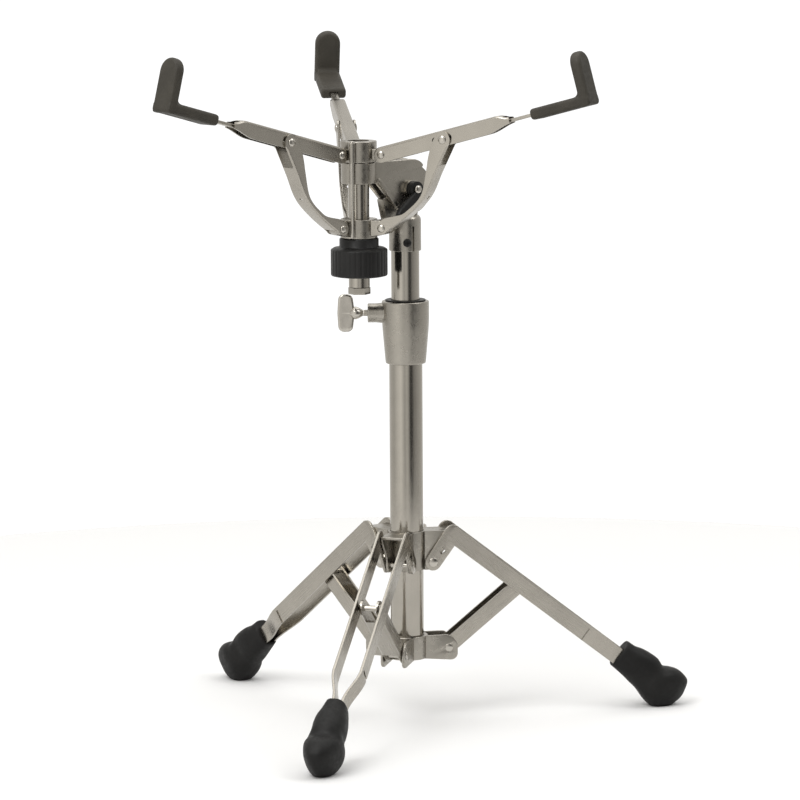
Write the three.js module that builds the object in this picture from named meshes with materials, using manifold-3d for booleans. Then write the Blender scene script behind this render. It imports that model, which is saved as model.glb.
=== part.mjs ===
// Folding snare drum stand with an offset tilter and a three-arm basket.
// Units are millimetres, +Z is up, and the stand rests on z = 0 with its bounding box centred on the
// Z axis. The stand is laid out round the axis of its column. Each arm, link, leg and brace is drawn
// once in an upright plane, with X outward, Y sideways and Z up, and turned to its place.

import * as THREE from "three";
import { mergeVertices } from "three/addons/utils/BufferGeometryUtils.js";
import Module from "manifold-3d";

const wasm = await Module();
wasm.setup();

// ---------- driving dimensions ----------

const GAP = 0.3; // between pieces that touch
const RAD = Math.PI / 180;

// Where the bounding box's centre lies from the column's axis.
const CENTRE_X = 21.174;
const CENTRE_Y = -26.454;

// Column
const MAIN_R = 15;
const MAIN_BORE_R = 13.4;
const MAIN_BOTTOM = 58;
const MAIN_TOP = 352;
const UPPER_R = 12.7;
const UPPER_BORE_R = 11.2;
const UPPER_BOTTOM = 182;
const UPPER_TOP = 446;

// Height collar, its bush and its wing bolt
const COLLAR_BOTTOM = 326;
const COLLAR_TOP = 382.5;
const COLLAR_TOP_R = 21.2;
const COLLAR_BOTTOM_R = 18;
const COLLAR_BORE_R = 16.4;
const BUSH_R = 16.1;
const BUSH_RIM_R = 19;
const BUSH_RIM = 1.6;
const HEIGHT_BOLT_Z = 371.5;
const HEIGHT_BOSS_R = 8.6;
const HEIGHT_BOSS_END = 34;

// Tilter
const TILT_Z = 484;
const TILTER_CUP_R = 14.4;
const TILTER_CUP_BOTTOM = 428;
const TILTER_CUP_TOP = 460.5;
const TONGUE_HALF = 4.2;
const TONGUE_R = 19.5;
const BRACKET_SUPPORT = [[8, 447], [20, 447], [24.5, 458], [28.5, 475.5], [12, 482]];
const CHEEK_OUT = 9.2;
const CHEEK_R = 22.8;
const TILT_BOLT_R = 3.6;
const LEVER_TOP = [-7, 482.7];
const LEVER_END = [18.5, 461.7];

// Basket
const POST_DISTANCE = 51.5;
const POST_AZIMUTH = 217.3; // degrees from +X, seen from the column
const POST_R = 9.4;
const POST_BORE_R = 7;
const POST_BOTTOM = 399;
const POST_TOP = 527;
const END_NUT_R = 10.2;
const END_NUT_BOTTOM = 392.5;
const END_NUT_TOP = 405;
const HUB_R = 16.4;
const HUB_BOTTOM = 510.8;
const HUB_TOP = 529.3;
const BRACKET_R = 15.7;
const BRACKET_BOTTOM = 491.6;
const BRACKET_TOP = 510.4;
const SLIDER_R = 16.4;
const SLIDER_BOTTOM = 443;
const SLIDER_TOP = 460;
const NUT_NECK_R = 17.5;
const NUT_NECK_TOP = 442.7;
const NUT_R = 25.3;
const NUT_TOP = 434.8;
const NUT_BOTTOM = 408.6;
const NUT_RIBS = 16;
const GUIDE_R = 1.7;
const GUIDE_OUT = 18.6;
const GUIDE_SIDE = -5.4;

// Arms, grips and links
const ARM_AZIMUTHS = { right: -26, left: -137, rear: 98 };
const ARM_PIVOT = [25, 518];
const ARM_SLOPE = 15.2;
const ARM_HALF_HEIGHT = 7;
const ARM_OUT = 6.4;
const ARM_WALL = 1.8;
const ARM_WEB_FROM = 7;
const ARM_LENGTH = 129;
const ARM_LINK_AT = [63, -1];
const HUB_TONGUE_HALF = ARM_OUT - ARM_WALL - GAP;
const ARM_PIN_R = 2.2;
const NECK_HALF = 3.6;
const NECK_THICK = 3;
const NECK_FROM = 104;
const NECK_TO = 184;
const GRIP_FROM = 152;
const GRIP_TO = 209.7;
const GRIP_THICK = 10;
const GRIP_HALF = 11.6;
const GRIP_HEIGHT = 43;
const GRIP_ROUND = 3;
const LINK_FOOT = [26, 453];
const LINK_OUT = 8.6;
const LINK_WALL = 1.8;
const LINK_RIVET_R = 2;
// How far the link's flanges reach inward of its spine, from its foot to its top.
const LINK_RIM = [5.8, 5, 1.4, -2, -2.6, -2.9, -2.6, -1.2, 0.4, 2.4, 5.2, 7, 7.4];

// Legs, braces and feet
const LEG_AZIMUTHS = { right: 12, left: 132, front: -108 };
const LEG_SLOPE = -38;
const KNEE = [39.8, 170.7];
const LEG_PIVOT = [21.5, 145];
const LEG_HALF_WIDTH = 8;
const STRIP_IN = 11.3;
const STRIP_THICK = 2.4;
const STRIP_BEND_FROM = 162;
const STRIP_BEND_TO = 191;
const STRIP_TO = 222;
const STRIP_END_IN = 3.2;
const BRACE_TOP_S = 81.5;
const BRACE_FOOT = [36.3, 65.5];
const BRACE_R = 7.2;
const BRACE_OUT = 8.6;
const BRACE_WALL = 2;
const LEG_PIN_R = 2.6;
const PIN_HALF_LENGTH = 14.6;

// Leg collar, its wing bolt and the lower bracket
const RING_BORE_R = 15.4;
const LEG_COLLAR_R = 17;
const LEG_COLLAR_BOTTOM = 138;
const LEG_COLLAR_TOP = 173.5;
const LEG_BOSS_AZIMUTH = 72;
const LEG_BOSS_R = 7.6;
const LEG_BOSS_END = 29;
const LEG_BOLT_Z = 156;
const LOWER_R = 18.6;
const LOWER_BOTTOM = 56.5;
const LOWER_TOP = 77.5;
const LOWER_EAR_OUT = 11.1;
const LOWER_EAR_END = 44.5;

// Each section of the boot: its place along the leg, its lowest and highest edge, its half width.
const BOOT_SQUARENESS = 2.6;
const BOOT_SECTIONS = [
  [199, -10.4, 16.6, 9.5], [208, -11, 17, 12], [216, -11.8, 19.2, 13.8], [224, -13, 20.2, 14.5],
  [232, -14, 20.2, 14.2], [240, -16.4, 17.6, 16.6], [247, -18.2, 20.8, 17.3], [254, -18.4, 23.2, 15.6],
  [262, -14.4, 22.7, 12.6], [268, -8.6, 20, 7.8], [272, 1, 10, 2.2],
];

const STEEL = { color: 0xa8a397, roughness: 0.24, metalness: 1 };
const CAST = { color: 0x9d988c, roughness: 0.32, metalness: 1 };
const BRIGHT = { color: 0xc4c0b6, roughness: 0.18, metalness: 1 };
const RUBBER = { color: 0x1e1e1d, roughness: 0.75, metalness: 0 };
const GRIP_RUBBER = { color: 0x34322e, roughness: 0.7, metalness: 0 };
const NYLON = { color: 0x1a1a1b, roughness: 0.5, metalness: 0 };

// ---------- solids: closed geometries, joined and cut ----------

function solidFrom(vertices, triangles) {
  return new wasm.Manifold(new wasm.Mesh({ numProp: 3, vertProperties: vertices, triVerts: triangles }));
}

function toSolid(geometry) {
  const bare = geometry.index ? geometry.toNonIndexed() : geometry.clone();
  bare.deleteAttribute("normal");
  bare.deleteAttribute("uv");
  const merged = mergeVertices(bare, 1e-4);
  const vertices = merged.attributes.position.array;
  const triangles = new Uint32Array(merged.index.array);
  const made = solidFrom(vertices, triangles);
  if (made.volume() > 0) return made;
  for (let i = 0; i < triangles.length; i += 3) {
    const first = triangles[i];
    triangles[i] = triangles[i + 1];
    triangles[i + 1] = first;
  }
  return solidFrom(vertices, triangles);
}

function toGeometry(solid) {
  const mesh = solid.getMesh();
  const geometry = new THREE.BufferGeometry();
  geometry.setAttribute("position", new THREE.BufferAttribute(mesh.vertProperties, 3));
  geometry.setIndex(new THREE.BufferAttribute(mesh.triVerts, 1));
  const flat = geometry.toNonIndexed();
  flat.computeVertexNormals();
  return flat;
}

const join = (...geometries) => toGeometry(geometries.map(toSolid).reduce((all, next) => all.add(next)));

const cut = (base, ...tools) =>
  toGeometry(tools.map(toSolid).reduce((left, tool) => left.subtract(tool), toSolid(base)));

const clip = (base, keep) => toGeometry(toSolid(base).intersect(toSolid(keep)));

// A solid of revolution about Z. The profile is a closed loop of [radius, height].
function turned(profile, sides = 24) {
  const points = [...profile, profile[0]].map(([radius, height]) => new THREE.Vector2(radius, height));
  return new THREE.LatheGeometry(points, sides).rotateX(Math.PI / 2);
}

function ring(innerR, outerR, bottom, top, sides = 24) {
  const profile = [[innerR, bottom], [outerR, bottom], [outerR, top], [innerR, top]];
  return turned(profile, sides);
}

function disc(radius, bottom, top, sides = 24) {
  const cylinder = new THREE.CylinderGeometry(radius, radius, top - bottom, sides);
  return cylinder.rotateX(Math.PI / 2).translate(0, 0, (bottom + top) / 2);
}

function block(xs, ys, zs) {
  const box = new THREE.BoxGeometry(xs[1] - xs[0], ys[1] - ys[0], zs[1] - zs[0]);
  return box.translate((xs[0] + xs[1]) / 2, (ys[0] + ys[1]) / 2, (zs[0] + zs[1]) / 2);
}

// A cylinder along Y through the point [x, z], between two places on Y.
function crossPin([x, z], radius, from, to, sides = 8) {
  const cylinder = new THREE.CylinderGeometry(radius, radius, to - from, sides);
  return cylinder.translate(x, (from + to) / 2, z);
}

// An upright plate: an outline in X and Z, with its thickness between two places on Y.
function plate(outline, from, to) {
  const shape = outline instanceof THREE.Shape ? outline : polygon(outline);
  const options = { depth: to - from, bevelEnabled: false, curveSegments: 5 };
  return new THREE.ExtrudeGeometry(shape, options).rotateX(Math.PI / 2).translate(0, to, 0);
}

// A slab over an outline in X and Y, between two heights, with all its edges rounded.
function roundedSlab(shape, bottom, top, radius) {
  const options = { depth: top - bottom - 2 * radius, bevelThickness: radius, bevelSize: radius,
    bevelOffset: -radius, bevelSegments: 2, curveSegments: 8 };
  return new THREE.ExtrudeGeometry(shape, options).translate(0, 0, bottom + radius);
}

// A solid through a row of closed rings that all have the same number of points.
function loft(rings) {
  const count = rings[0].length;
  const middle = (points) =>
    [0, 1, 2].map((axis) => points.reduce((sum, point) => sum + point[axis], 0) / points.length);
  const last = rings[rings.length - 1];
  const vertices = [...rings.flat(), middle(rings[0]), middle(last)];
  const firstMiddle = vertices.length - 2;
  const lastMiddle = vertices.length - 1;
  const triangles = [];
  for (let i = 0; i < count; i++) {
    const next = (i + 1) % count;
    const lastRow = (rings.length - 1) * count;
    triangles.push(firstMiddle, next, i, lastMiddle, lastRow + i, lastRow + next);
    for (let row = 0; row < lastRow; row += count) {
      triangles.push(row + i, row + next, row + count + next, row + i, row + count + next, row + count + i);
    }
  }
  const geometry = new THREE.BufferGeometry();
  geometry.setAttribute("position", new THREE.BufferAttribute(new Float32Array(vertices.flat()), 3));
  geometry.setIndex(triangles);
  return geometry;
}

const plates = (outline, inner, outer) => join(plate(outline, inner, outer), plate(outline, -outer, -inner));

const polygon = (points) => new THREE.Shape(points.map(([x, y]) => new THREE.Vector2(x, y)));

// The outline of a bar with round ends between two points.
function bar([ax, ay], [bx, by], radiusA, radiusB = radiusA) {
  const heading = Math.atan2(by - ay, bx - ax);
  const shape = new THREE.Shape();
  shape.absarc(ax, ay, radiusA, heading + Math.PI / 2, heading + 1.5 * Math.PI, false);
  shape.absarc(bx, by, radiusB, heading - Math.PI / 2, heading + Math.PI / 2, false);
  return shape;
}

// The outline between a smooth curve's two offsets: low on its right, high on its left.
function ribbon(points, low, high, steps = 8) {
  const curve = new THREE.SplineCurve(points.map(([x, y]) => new THREE.Vector2(x, y)));
  const side = (offsetAt) =>
    Array.from({ length: steps + 1 }, (_, i) => {
      const point = curve.getPoint(i / steps);
      const along = curve.getTangent(i / steps);
      const offset = offsetAt(i / steps);
      return [point.x - along.y * offset, point.y + along.x * offset];
    });
  return [...side((u) => -low(u)), ...side(high).reverse()];
}

// Places an upright plane's own frame: its origin at [x, z], its X axis at an angle above level.
function inclined(geometry, [x, z], degrees) {
  return geometry.rotateY(-degrees * RAD).translate(x, 0, z);
}

function pointOn([x, z], degrees, [along, up]) {
  const c = Math.cos(degrees * RAD);
  const s = Math.sin(degrees * RAD);
  return [x + along * c - up * s, z + along * s + up * c];
}

const LEG_BRACE_POINT = pointOn(KNEE, LEG_SLOPE, [BRACE_TOP_S, 0]);
const ARM_LINK_POINT = pointOn(ARM_PIVOT, ARM_SLOPE, ARM_LINK_AT);

// ---------- the scene ----------

const stand = new THREE.Group();
stand.position.set(-CENTRE_X, -CENTRE_Y, 0);

function upright(azimuth, x = 0, y = 0) {
  const group = new THREE.Group();
  group.position.set(x, y, 0);
  group.rotation.z = azimuth * RAD;
  stand.add(group);
  return group;
}

function add(group, name, geometry, finish) {
  const mesh = new THREE.Mesh(toGeometry(toSolid(geometry)), new THREE.MeshStandardMaterial(finish));
  mesh.name = name;
  group.add(mesh);
}

// ---------- wing bolts ----------

// A wing bolt along +X: a shank in its boss, a waist, a cone and two flat wings, at the height z.
function wingBolt(z, from, bossEnd, wingHalf, wingDepth) {
  const waistEnd = bossEnd + 5;
  const coneEnd = waistEnd + 9;
  const profile = [[0, from], [3, from], [3, bossEnd + 1], [2.7, waistEnd - 1], [4.2, waistEnd],
    [6.6, waistEnd + 1], [6.6, waistEnd + 4], [4.4, coneEnd], [3, coneEnd + 8], [0, coneEnd + 8]];
  const points = profile.map(([radius, along]) => new THREE.Vector2(radius, along));
  const stem = new THREE.LatheGeometry(points, 12).rotateZ(-Math.PI / 2);
  const wing = new THREE.Shape();
  const inner = coneEnd - 2;
  const outer = inner + wingDepth;
  const curl = wingDepth * 0.36;
  wing.moveTo(inner, -4);
  wing.lineTo(inner + 1, -wingHalf + curl);
  wing.absarc(inner + 1 + curl, -wingHalf + curl, curl, Math.PI, 1.5 * Math.PI, false);
  wing.absarc(outer - curl, -wingHalf + curl, curl, 1.5 * Math.PI, 2 * Math.PI, false);
  wing.quadraticCurveTo(outer - 3.5, 0, outer, wingHalf - curl);
  wing.absarc(outer - curl, wingHalf - curl, curl, 0, Math.PI / 2, false);
  wing.absarc(inner + 1 + curl, wingHalf - curl, curl, Math.PI / 2, Math.PI, false);
  wing.lineTo(inner, 4);
  return join(stem, plate(wing, -2.4, 2.4)).translate(0, 0, z);
}

// ---------- column ----------

function column() {
  const here = upright(0);
  add(here, "main_tube", ring(MAIN_BORE_R, MAIN_R, MAIN_BOTTOM, MAIN_TOP), STEEL);

  const shell = turned([
    [MAIN_R + GAP, COLLAR_BOTTOM], [COLLAR_BOTTOM_R, COLLAR_BOTTOM], [COLLAR_BOTTOM_R + 0.4, COLLAR_BOTTOM + 4],
    [COLLAR_TOP_R, COLLAR_TOP - 20], [COLLAR_TOP_R, COLLAR_TOP], [COLLAR_BORE_R, COLLAR_TOP],
    [COLLAR_BORE_R, MAIN_TOP + GAP], [MAIN_R + GAP, MAIN_TOP + GAP],
  ]);
  const boss = disc(HEIGHT_BOSS_R, COLLAR_BORE_R + 1, HEIGHT_BOSS_END, 16).rotateY(-Math.PI / 2);
  const bore = disc(3 + GAP, 0, HEIGHT_BOSS_END + 1, 12).rotateY(-Math.PI / 2);
  boss.translate(0, 0, HEIGHT_BOLT_Z);
  bore.translate(0, 0, HEIGHT_BOLT_Z);
  const inside = disc(COLLAR_BORE_R, MAIN_TOP + GAP, COLLAR_TOP + 1);
  add(here, "height_collar", cut(join(shell, boss), bore, inside), CAST);

  const bush = turned([
    [UPPER_R + GAP, MAIN_TOP + 1], [BUSH_R, MAIN_TOP + 1], [BUSH_R, COLLAR_TOP + GAP],
    [BUSH_RIM_R, COLLAR_TOP + GAP], [BUSH_RIM_R, COLLAR_TOP + GAP + BUSH_RIM],
    [UPPER_R + GAP, COLLAR_TOP + GAP + BUSH_RIM],
  ]);
  add(here, "collar_bush", bush, NYLON);

  const side = upright(180);
  const bolt = wingBolt(HEIGHT_BOLT_Z, BUSH_R + GAP, HEIGHT_BOSS_END, 17, 14.5);
  add(side, "height_wing_bolt", bolt, BRIGHT);

  add(here, "upper_tube", ring(UPPER_BORE_R, UPPER_R, UPPER_BOTTOM, UPPER_TOP), STEEL);
}

// ---------- tilter ----------

// The tilter's plane holds the column's axis and the basket post, with X toward the post.
function tilter() {
  const here = upright(POST_AZIMUTH);

  const cup = turned([
    [0, UPPER_TOP + GAP], [UPPER_R + GAP, UPPER_TOP + GAP], [UPPER_R + GAP, TILTER_CUP_BOTTOM],
    [TILTER_CUP_R, TILTER_CUP_BOTTOM], [TILTER_CUP_R, TILTER_CUP_TOP - 3],
    [TILTER_CUP_R - 3, TILTER_CUP_TOP], [0, TILTER_CUP_TOP],
  ]);
  const tongue = plate(bar([0, TILTER_CUP_TOP - 6], [0, TILT_Z], 11, TONGUE_R), -TONGUE_HALF, TONGUE_HALF);
  const belowTongue = disc(TILTER_CUP_R + 6, TILTER_CUP_BOTTOM - 20, UPPER_TOP + GAP, 24);
  const tongueTop = cut(join(tongue, plate(BRACKET_SUPPORT, -TONGUE_HALF, TONGUE_HALF)), belowTongue);
  const boltHole = crossPin([0, TILT_Z], TILT_BOLT_R + GAP, -30, 30);
  const screwHole = disc(2 + GAP, 0, 30, 12).rotateY(Math.PI / 2).rotateZ(60 * RAD).translate(0, 0, 436);
  add(here, "tilter_base", cut(join(cup, tongueTop), boltHole, screwHole), CAST);

  const screw = join(disc(2, UPPER_R + GAP, 15, 12), disc(3.6, TILTER_CUP_R + GAP, 17.4, 12));
  add(here, "tilter_base_screw", screw.rotateY(Math.PI / 2).rotateZ(60 * RAD).translate(0, 0, 436), NYLON);

  const cheek = new THREE.Shape();
  cheek.moveTo(POST_DISTANCE - 4, BRACKET_TOP);
  cheek.lineTo(-6, BRACKET_TOP);
  cheek.lineTo(-13, BRACKET_TOP - 3.6);
  cheek.absarc(0, TILT_Z, CHEEK_R, 125 * RAD, 320 * RAD, false);
  cheek.lineTo(POST_DISTANCE - BRACKET_R + 2, BRACKET_BOTTOM);
  cheek.lineTo(POST_DISTANCE - 4, BRACKET_BOTTOM);
  const solidEnd = block([30, POST_DISTANCE - 4], [-CHEEK_OUT, CHEEK_OUT], [BRACKET_BOTTOM, BRACKET_TOP]);
  const collar = disc(BRACKET_R, BRACKET_BOTTOM, BRACKET_TOP).translate(POST_DISTANCE, 0, 0);
  const postHole = disc(POST_R + GAP, BRACKET_BOTTOM - 5, BRACKET_TOP + 5).translate(POST_DISTANCE, 0, 0);
  const cheeks = plates(cheek, TONGUE_HALF + GAP, CHEEK_OUT);
  const captiveNut = crossPin([0, TILT_Z], 7.5, -CHEEK_OUT - 5, -CHEEK_OUT + 1, 6);
  const bracket = cut(join(cheeks, solidEnd, collar, captiveNut), boltHole, postHole);
  add(here, "tilter_bracket", bracket, CAST);

  // The wing bolt's lever hangs beside the near cheek and slants down toward the post.
  const shank = crossPin([0, TILT_Z], TILT_BOLT_R, -CHEEK_OUT - 2, CHEEK_OUT + 8);
  const washer = crossPin([0, TILT_Z], 8, CHEEK_OUT + GAP, CHEEK_OUT + 2.2, 14);
  const hub = crossPin([0, TILT_Z], 7, CHEEK_OUT + 5.6, CHEEK_OUT + 9, 14);
  const lever = plate(bar(LEVER_TOP, LEVER_END, 5.5), CHEEK_OUT + 5.6, CHEEK_OUT + 12);
  add(here, "tilter_wing_bolt", join(shank, washer, hub, lever), NYLON);
}

// ---------- basket ----------

const POST_X = POST_DISTANCE * Math.cos(POST_AZIMUTH * RAD);
const POST_Y = POST_DISTANCE * Math.sin(POST_AZIMUTH * RAD);

// Three ears round a ring. Each ear is an outline in its own upright plane, with a pin hole.
function eared(base, azimuths, outline, half, hole, holeR, innerR, bottom, top) {
  const ears = Object.values(azimuths).map((azimuth) =>
    cut(plate(outline, -half, half), crossPin(hole, holeR, -half - 5, half + 5)).rotateZ(azimuth * RAD),
  );
  return cut(join(base, ...ears), disc(innerR, bottom - 5, top + 5));
}

function basket() {
  const here = upright(0, POST_X, POST_Y);
  add(here, "basket_post", ring(POST_BORE_R, POST_R, POST_BOTTOM, POST_TOP, 24), STEEL);

  // A hexagonal plug closes the post's lower end.
  const plug = join(disc(POST_BORE_R - GAP, POST_BOTTOM - 1, END_NUT_TOP, 16),
    disc(END_NUT_R, END_NUT_BOTTOM, POST_BOTTOM - GAP, 6));
  add(here, "post_end_nut", plug, STEEL);

  const armEar = [[HUB_R - 4, ARM_PIVOT[1] - 5], [ARM_PIVOT[0], ARM_PIVOT[1] - 5],
    [ARM_PIVOT[0] + 4, ARM_PIVOT[1] - 2], [ARM_PIVOT[0] + 4.6, ARM_PIVOT[1] + 1],
    [ARM_PIVOT[0] + 2, ARM_PIVOT[1] + 4.6], [HUB_R - 4, ARM_PIVOT[1] + 4.6]];
  const hub = disc(HUB_R, HUB_BOTTOM, HUB_TOP);
  const guideLug = disc(GUIDE_R + 1.6, HUB_BOTTOM, HUB_TOP, 10).translate(GUIDE_SIDE, -GUIDE_OUT + 1, 0);
  const guideHole = disc(GUIDE_R + GAP, HUB_BOTTOM - 1, HUB_TOP + 1, 8).translate(GUIDE_SIDE, -GUIDE_OUT, 0);
  const eareded = eared(join(hub, guideLug), ARM_AZIMUTHS, armEar, HUB_TONGUE_HALF, ARM_PIVOT,
    ARM_PIN_R + GAP, POST_R + GAP, HUB_BOTTOM, HUB_TOP);
  add(here, "top_hub", cut(eareded, guideHole), CAST);
  const guide = disc(GUIDE_R, SLIDER_BOTTOM + 1, HUB_TOP + 1, 8).translate(GUIDE_SIDE, -GUIDE_OUT, 0);
  add(here, "guide_rod", guide, BRIGHT);

  const linkEar = [[SLIDER_R - 5, SLIDER_BOTTOM + 1], [LINK_FOOT[0] + 1, LINK_FOOT[1] - 6],
    [LINK_FOOT[0] + 5, LINK_FOOT[1] - 3], [LINK_FOOT[0] + 5.6, LINK_FOOT[1] + 1],
    [LINK_FOOT[0] + 3, LINK_FOOT[1] + 5], [LINK_FOOT[0] - 3, SLIDER_TOP - 0.5], [SLIDER_R - 5, SLIDER_TOP - 0.5]];
  const sliderRing = disc(SLIDER_R, SLIDER_BOTTOM, SLIDER_TOP);
  const sliderHalf = LINK_OUT - LINK_WALL - GAP;
  const slider = eared(sliderRing, ARM_AZIMUTHS, linkEar, sliderHalf, LINK_FOOT,
    LINK_RIVET_R + GAP, POST_R + GAP, SLIDER_BOTTOM, SLIDER_TOP);
  const groove = disc(GUIDE_R + 0.6, SLIDER_BOTTOM - 1, SLIDER_TOP + 1, 8).translate(GUIDE_SIDE, -GUIDE_OUT, 0);
  add(here, "basket_slider", cut(slider, groove), CAST);

  const steps = NUT_RIBS * 2;
  const ribbed = Array.from({ length: steps * 2 }, (_, i) => {
    const turn = (Math.floor(i / 2) + (i % 2 ? 0.35 : -0.35)) * ((2 * Math.PI) / steps);
    const radius = Math.floor(i / 2) % 2 ? NUT_R - 0.9 : NUT_R;
    return [radius * Math.cos(turn), radius * Math.sin(turn)];
  });
  const ribOptions = { depth: NUT_TOP - NUT_BOTTOM, bevelEnabled: false };
  const body = new THREE.ExtrudeGeometry(polygon(ribbed), ribOptions).translate(0, 0, NUT_BOTTOM);
  const neck = disc(NUT_NECK_R, NUT_TOP - 2, NUT_NECK_TOP);
  const thread = disc(POST_R + GAP, NUT_BOTTOM - 1, NUT_NECK_TOP + 1);
  add(here, "basket_nut", cut(join(neck, body), thread), NYLON);
}

function arm(side, azimuth) {
  const here = upright(azimuth, POST_X, POST_Y);
  const h = ARM_HALF_HEIGHT;
  const place = (geometry) => inclined(geometry, ARM_PIVOT, ARM_SLOPE);

  // A channel that opens downward. Its web starts clear of the hub, and its root end is round.
  const outline = new THREE.Shape();
  outline.absarc(0, 0, h, Math.PI / 2, 1.5 * Math.PI, false);
  outline.lineTo(ARM_LENGTH - 24, -h);
  outline.quadraticCurveTo(ARM_LENGTH - 8, -h + 1, ARM_LENGTH, -2.2);
  outline.lineTo(ARM_LENGTH, 3.2);
  outline.lineTo(ARM_LENGTH - 10, h);
  const inner = ARM_OUT - ARM_WALL;
  const hollow = block([-20, ARM_LENGTH + 5], [-inner, inner], [-h - 5, h - ARM_WALL]);
  const rootOpening = block([-20, ARM_WEB_FROM], [-inner, inner], [h - ARM_WALL - 1, h + 5]);
  const rootHole = crossPin([0, 0], ARM_PIN_R + GAP, -20, 20);
  const [linkX, linkZ] = ARM_LINK_AT;
  const slotR = LINK_RIVET_R + 1.2;
  const linkSlot = plate(bar([linkX - 7.5, linkZ + 0.6], [linkX + 5.5, linkZ + 0.6], slotR), -20, 20);
  const channel = cut(plate(outline, -ARM_OUT, ARM_OUT), hollow, rootOpening, rootHole, linkSlot);
  add(here, side + "_arm", place(channel), STEEL);

  const neckShape = [[NECK_FROM, -NECK_THICK / 2], [NECK_TO, -NECK_THICK / 2],
    [NECK_TO, NECK_THICK / 2], [NECK_FROM, NECK_THICK / 2]];
  add(here, side + "_arm_neck", place(plate(neckShape, -NECK_HALF, NECK_HALF)), STEEL);

  // The grip sleeve is an L: a flat bar along the arm and an upright tab with a round top.
  const half = GRIP_THICK / 2;
  const footPlan = [[GRIP_FROM, -GRIP_HALF], [GRIP_TO, -GRIP_HALF], [GRIP_TO, GRIP_HALF], [GRIP_FROM, GRIP_HALF]];
  const foot = roundedSlab(polygon(footPlan), -half, half, GRIP_ROUND);
  const tab = new THREE.Shape();
  tab.moveTo(-GRIP_HALF, -half);
  tab.lineTo(GRIP_HALF, -half);
  tab.absarc(0, GRIP_HEIGHT - GRIP_HALF, GRIP_HALF, 0, Math.PI, false);
  const tabSlab = roundedSlab(tab, GRIP_TO - GRIP_THICK, GRIP_TO, GRIP_ROUND);
  const tabSolid = tabSlab.rotateX(Math.PI / 2).rotateZ(Math.PI / 2);
  const pocketHalf = NECK_THICK / 2 + GAP;
  const pocket = block([GRIP_FROM - 1, NECK_TO + GAP],
    [-NECK_HALF - GAP, NECK_HALF + GAP], [-pocketHalf, pocketHalf]);
  add(here, side + "_grip", place(cut(join(foot, tabSolid), pocket)), GRIP_RUBBER);

  const pin = crossPin(ARM_PIVOT, ARM_PIN_R, -ARM_OUT - 1.6, ARM_OUT + 1.6);
  add(here, side + "_arm_pin", pin, BRIGHT);
}

function link(side, azimuth) {
  const here = upright(azimuth, POST_X, POST_Y);
  const [footX, footZ] = LINK_FOOT;
  const [topX, topZ] = ARM_LINK_POINT;

  // A bowed channel: two flanges, and a web on the outer side that stops short of both pivots.
  const spine = [[footX, footZ], [footX + 20, footZ + 15], [footX + 37, footZ + 32],
    [topX - 13, topZ - 27], [topX, topZ]];
  const width = (u) => 5.8 + 1.6 * u;
  const rim = (u) => LINK_RIM[Math.round(u * (LINK_RIM.length - 1))];
  const flange = join(plate(ribbon(spine, width, rim, LINK_RIM.length - 1), -LINK_OUT, LINK_OUT),
    crossPin([footX, footZ], width(0), -LINK_OUT, LINK_OUT, 14),
    crossPin([topX, topZ], width(1), -LINK_OUT, LINK_OUT, 14));
  const inner = LINK_OUT - LINK_WALL;
  const inside = plate(ribbon(spine, (u) => width(u) - LINK_WALL, () => 20), -inner, inner);
  const footRoom = block([footX - 20, footX + 9], [-inner, inner], [footZ - 20, footZ + 9]);
  const topRoom = block([topX - 40, topX + 20], [-inner, inner], [topZ - 23, topZ + 20]);
  const footHole = crossPin([footX, footZ], LINK_RIVET_R + GAP, -20, 20);
  const topHole = crossPin([topX, topZ], LINK_RIVET_R + GAP, -20, 20);
  add(here, side + "_link", cut(flange, inside, footRoom, topRoom, footHole, topHole), STEEL);
  const half = LINK_OUT + 1.6;
  add(here, side + "_link_foot_pin", crossPin([footX, footZ], LINK_RIVET_R, -half, half), BRIGHT);
  add(here, side + "_link_top_pin", crossPin([topX, topZ], LINK_RIVET_R, -half, half), BRIGHT);
}

// ---------- leg collar and lower bracket ----------

function legCollar() {
  const here = upright(0);
  const base = disc(LEG_COLLAR_R, LEG_COLLAR_BOTTOM, LEG_COLLAR_TOP);
  const gusset = [[14, LEG_COLLAR_BOTTOM], [26, LEG_COLLAR_BOTTOM], [29, LEG_PIVOT[1]],
    [29.5, 152], [42, 168], [42.5, LEG_COLLAR_TOP], [14, LEG_COLLAR_TOP]];
  const earOut = STRIP_IN - GAP;
  const earIn = earOut - 2.2;
  const ears = Object.values(LEG_AZIMUTHS).flatMap((azimuth) => {
    const pair = [plate(gusset, earIn, earOut), plate(gusset, -earOut, -earIn),
      block([14, 42.5], [-earOut, earOut], [LEG_COLLAR_TOP - 2.2, LEG_COLLAR_TOP])];
    return pair.map((piece) => piece.rotateZ(azimuth * RAD));
  });
  const holes = Object.values(LEG_AZIMUTHS).map((azimuth) =>
    crossPin(LEG_PIVOT, LEG_PIN_R + GAP, -16, 16).rotateZ(azimuth * RAD),
  );
  const bossTurn = LEG_BOSS_AZIMUTH * RAD;
  const boss = disc(LEG_BOSS_R, 10, LEG_BOSS_END, 16).rotateY(Math.PI / 2).rotateZ(bossTurn);
  const bore = disc(3 + GAP, 0, LEG_BOSS_END + 1, 12).rotateY(Math.PI / 2).rotateZ(bossTurn);
  boss.translate(0, 0, LEG_BOLT_Z);
  bore.translate(0, 0, LEG_BOLT_Z);
  const tubeHole = disc(RING_BORE_R, LEG_COLLAR_BOTTOM - 5, LEG_COLLAR_TOP + 5);
  add(here, "leg_collar", cut(join(base, boss, ...ears), tubeHole, bore, ...holes), CAST);

  const side = upright(LEG_BOSS_AZIMUTH);
  const bolt = wingBolt(LEG_BOLT_Z, MAIN_R + GAP + 0.2, LEG_BOSS_END, 15, 13);
  add(side, "leg_collar_wing_bolt", bolt, BRIGHT);
}

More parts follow.
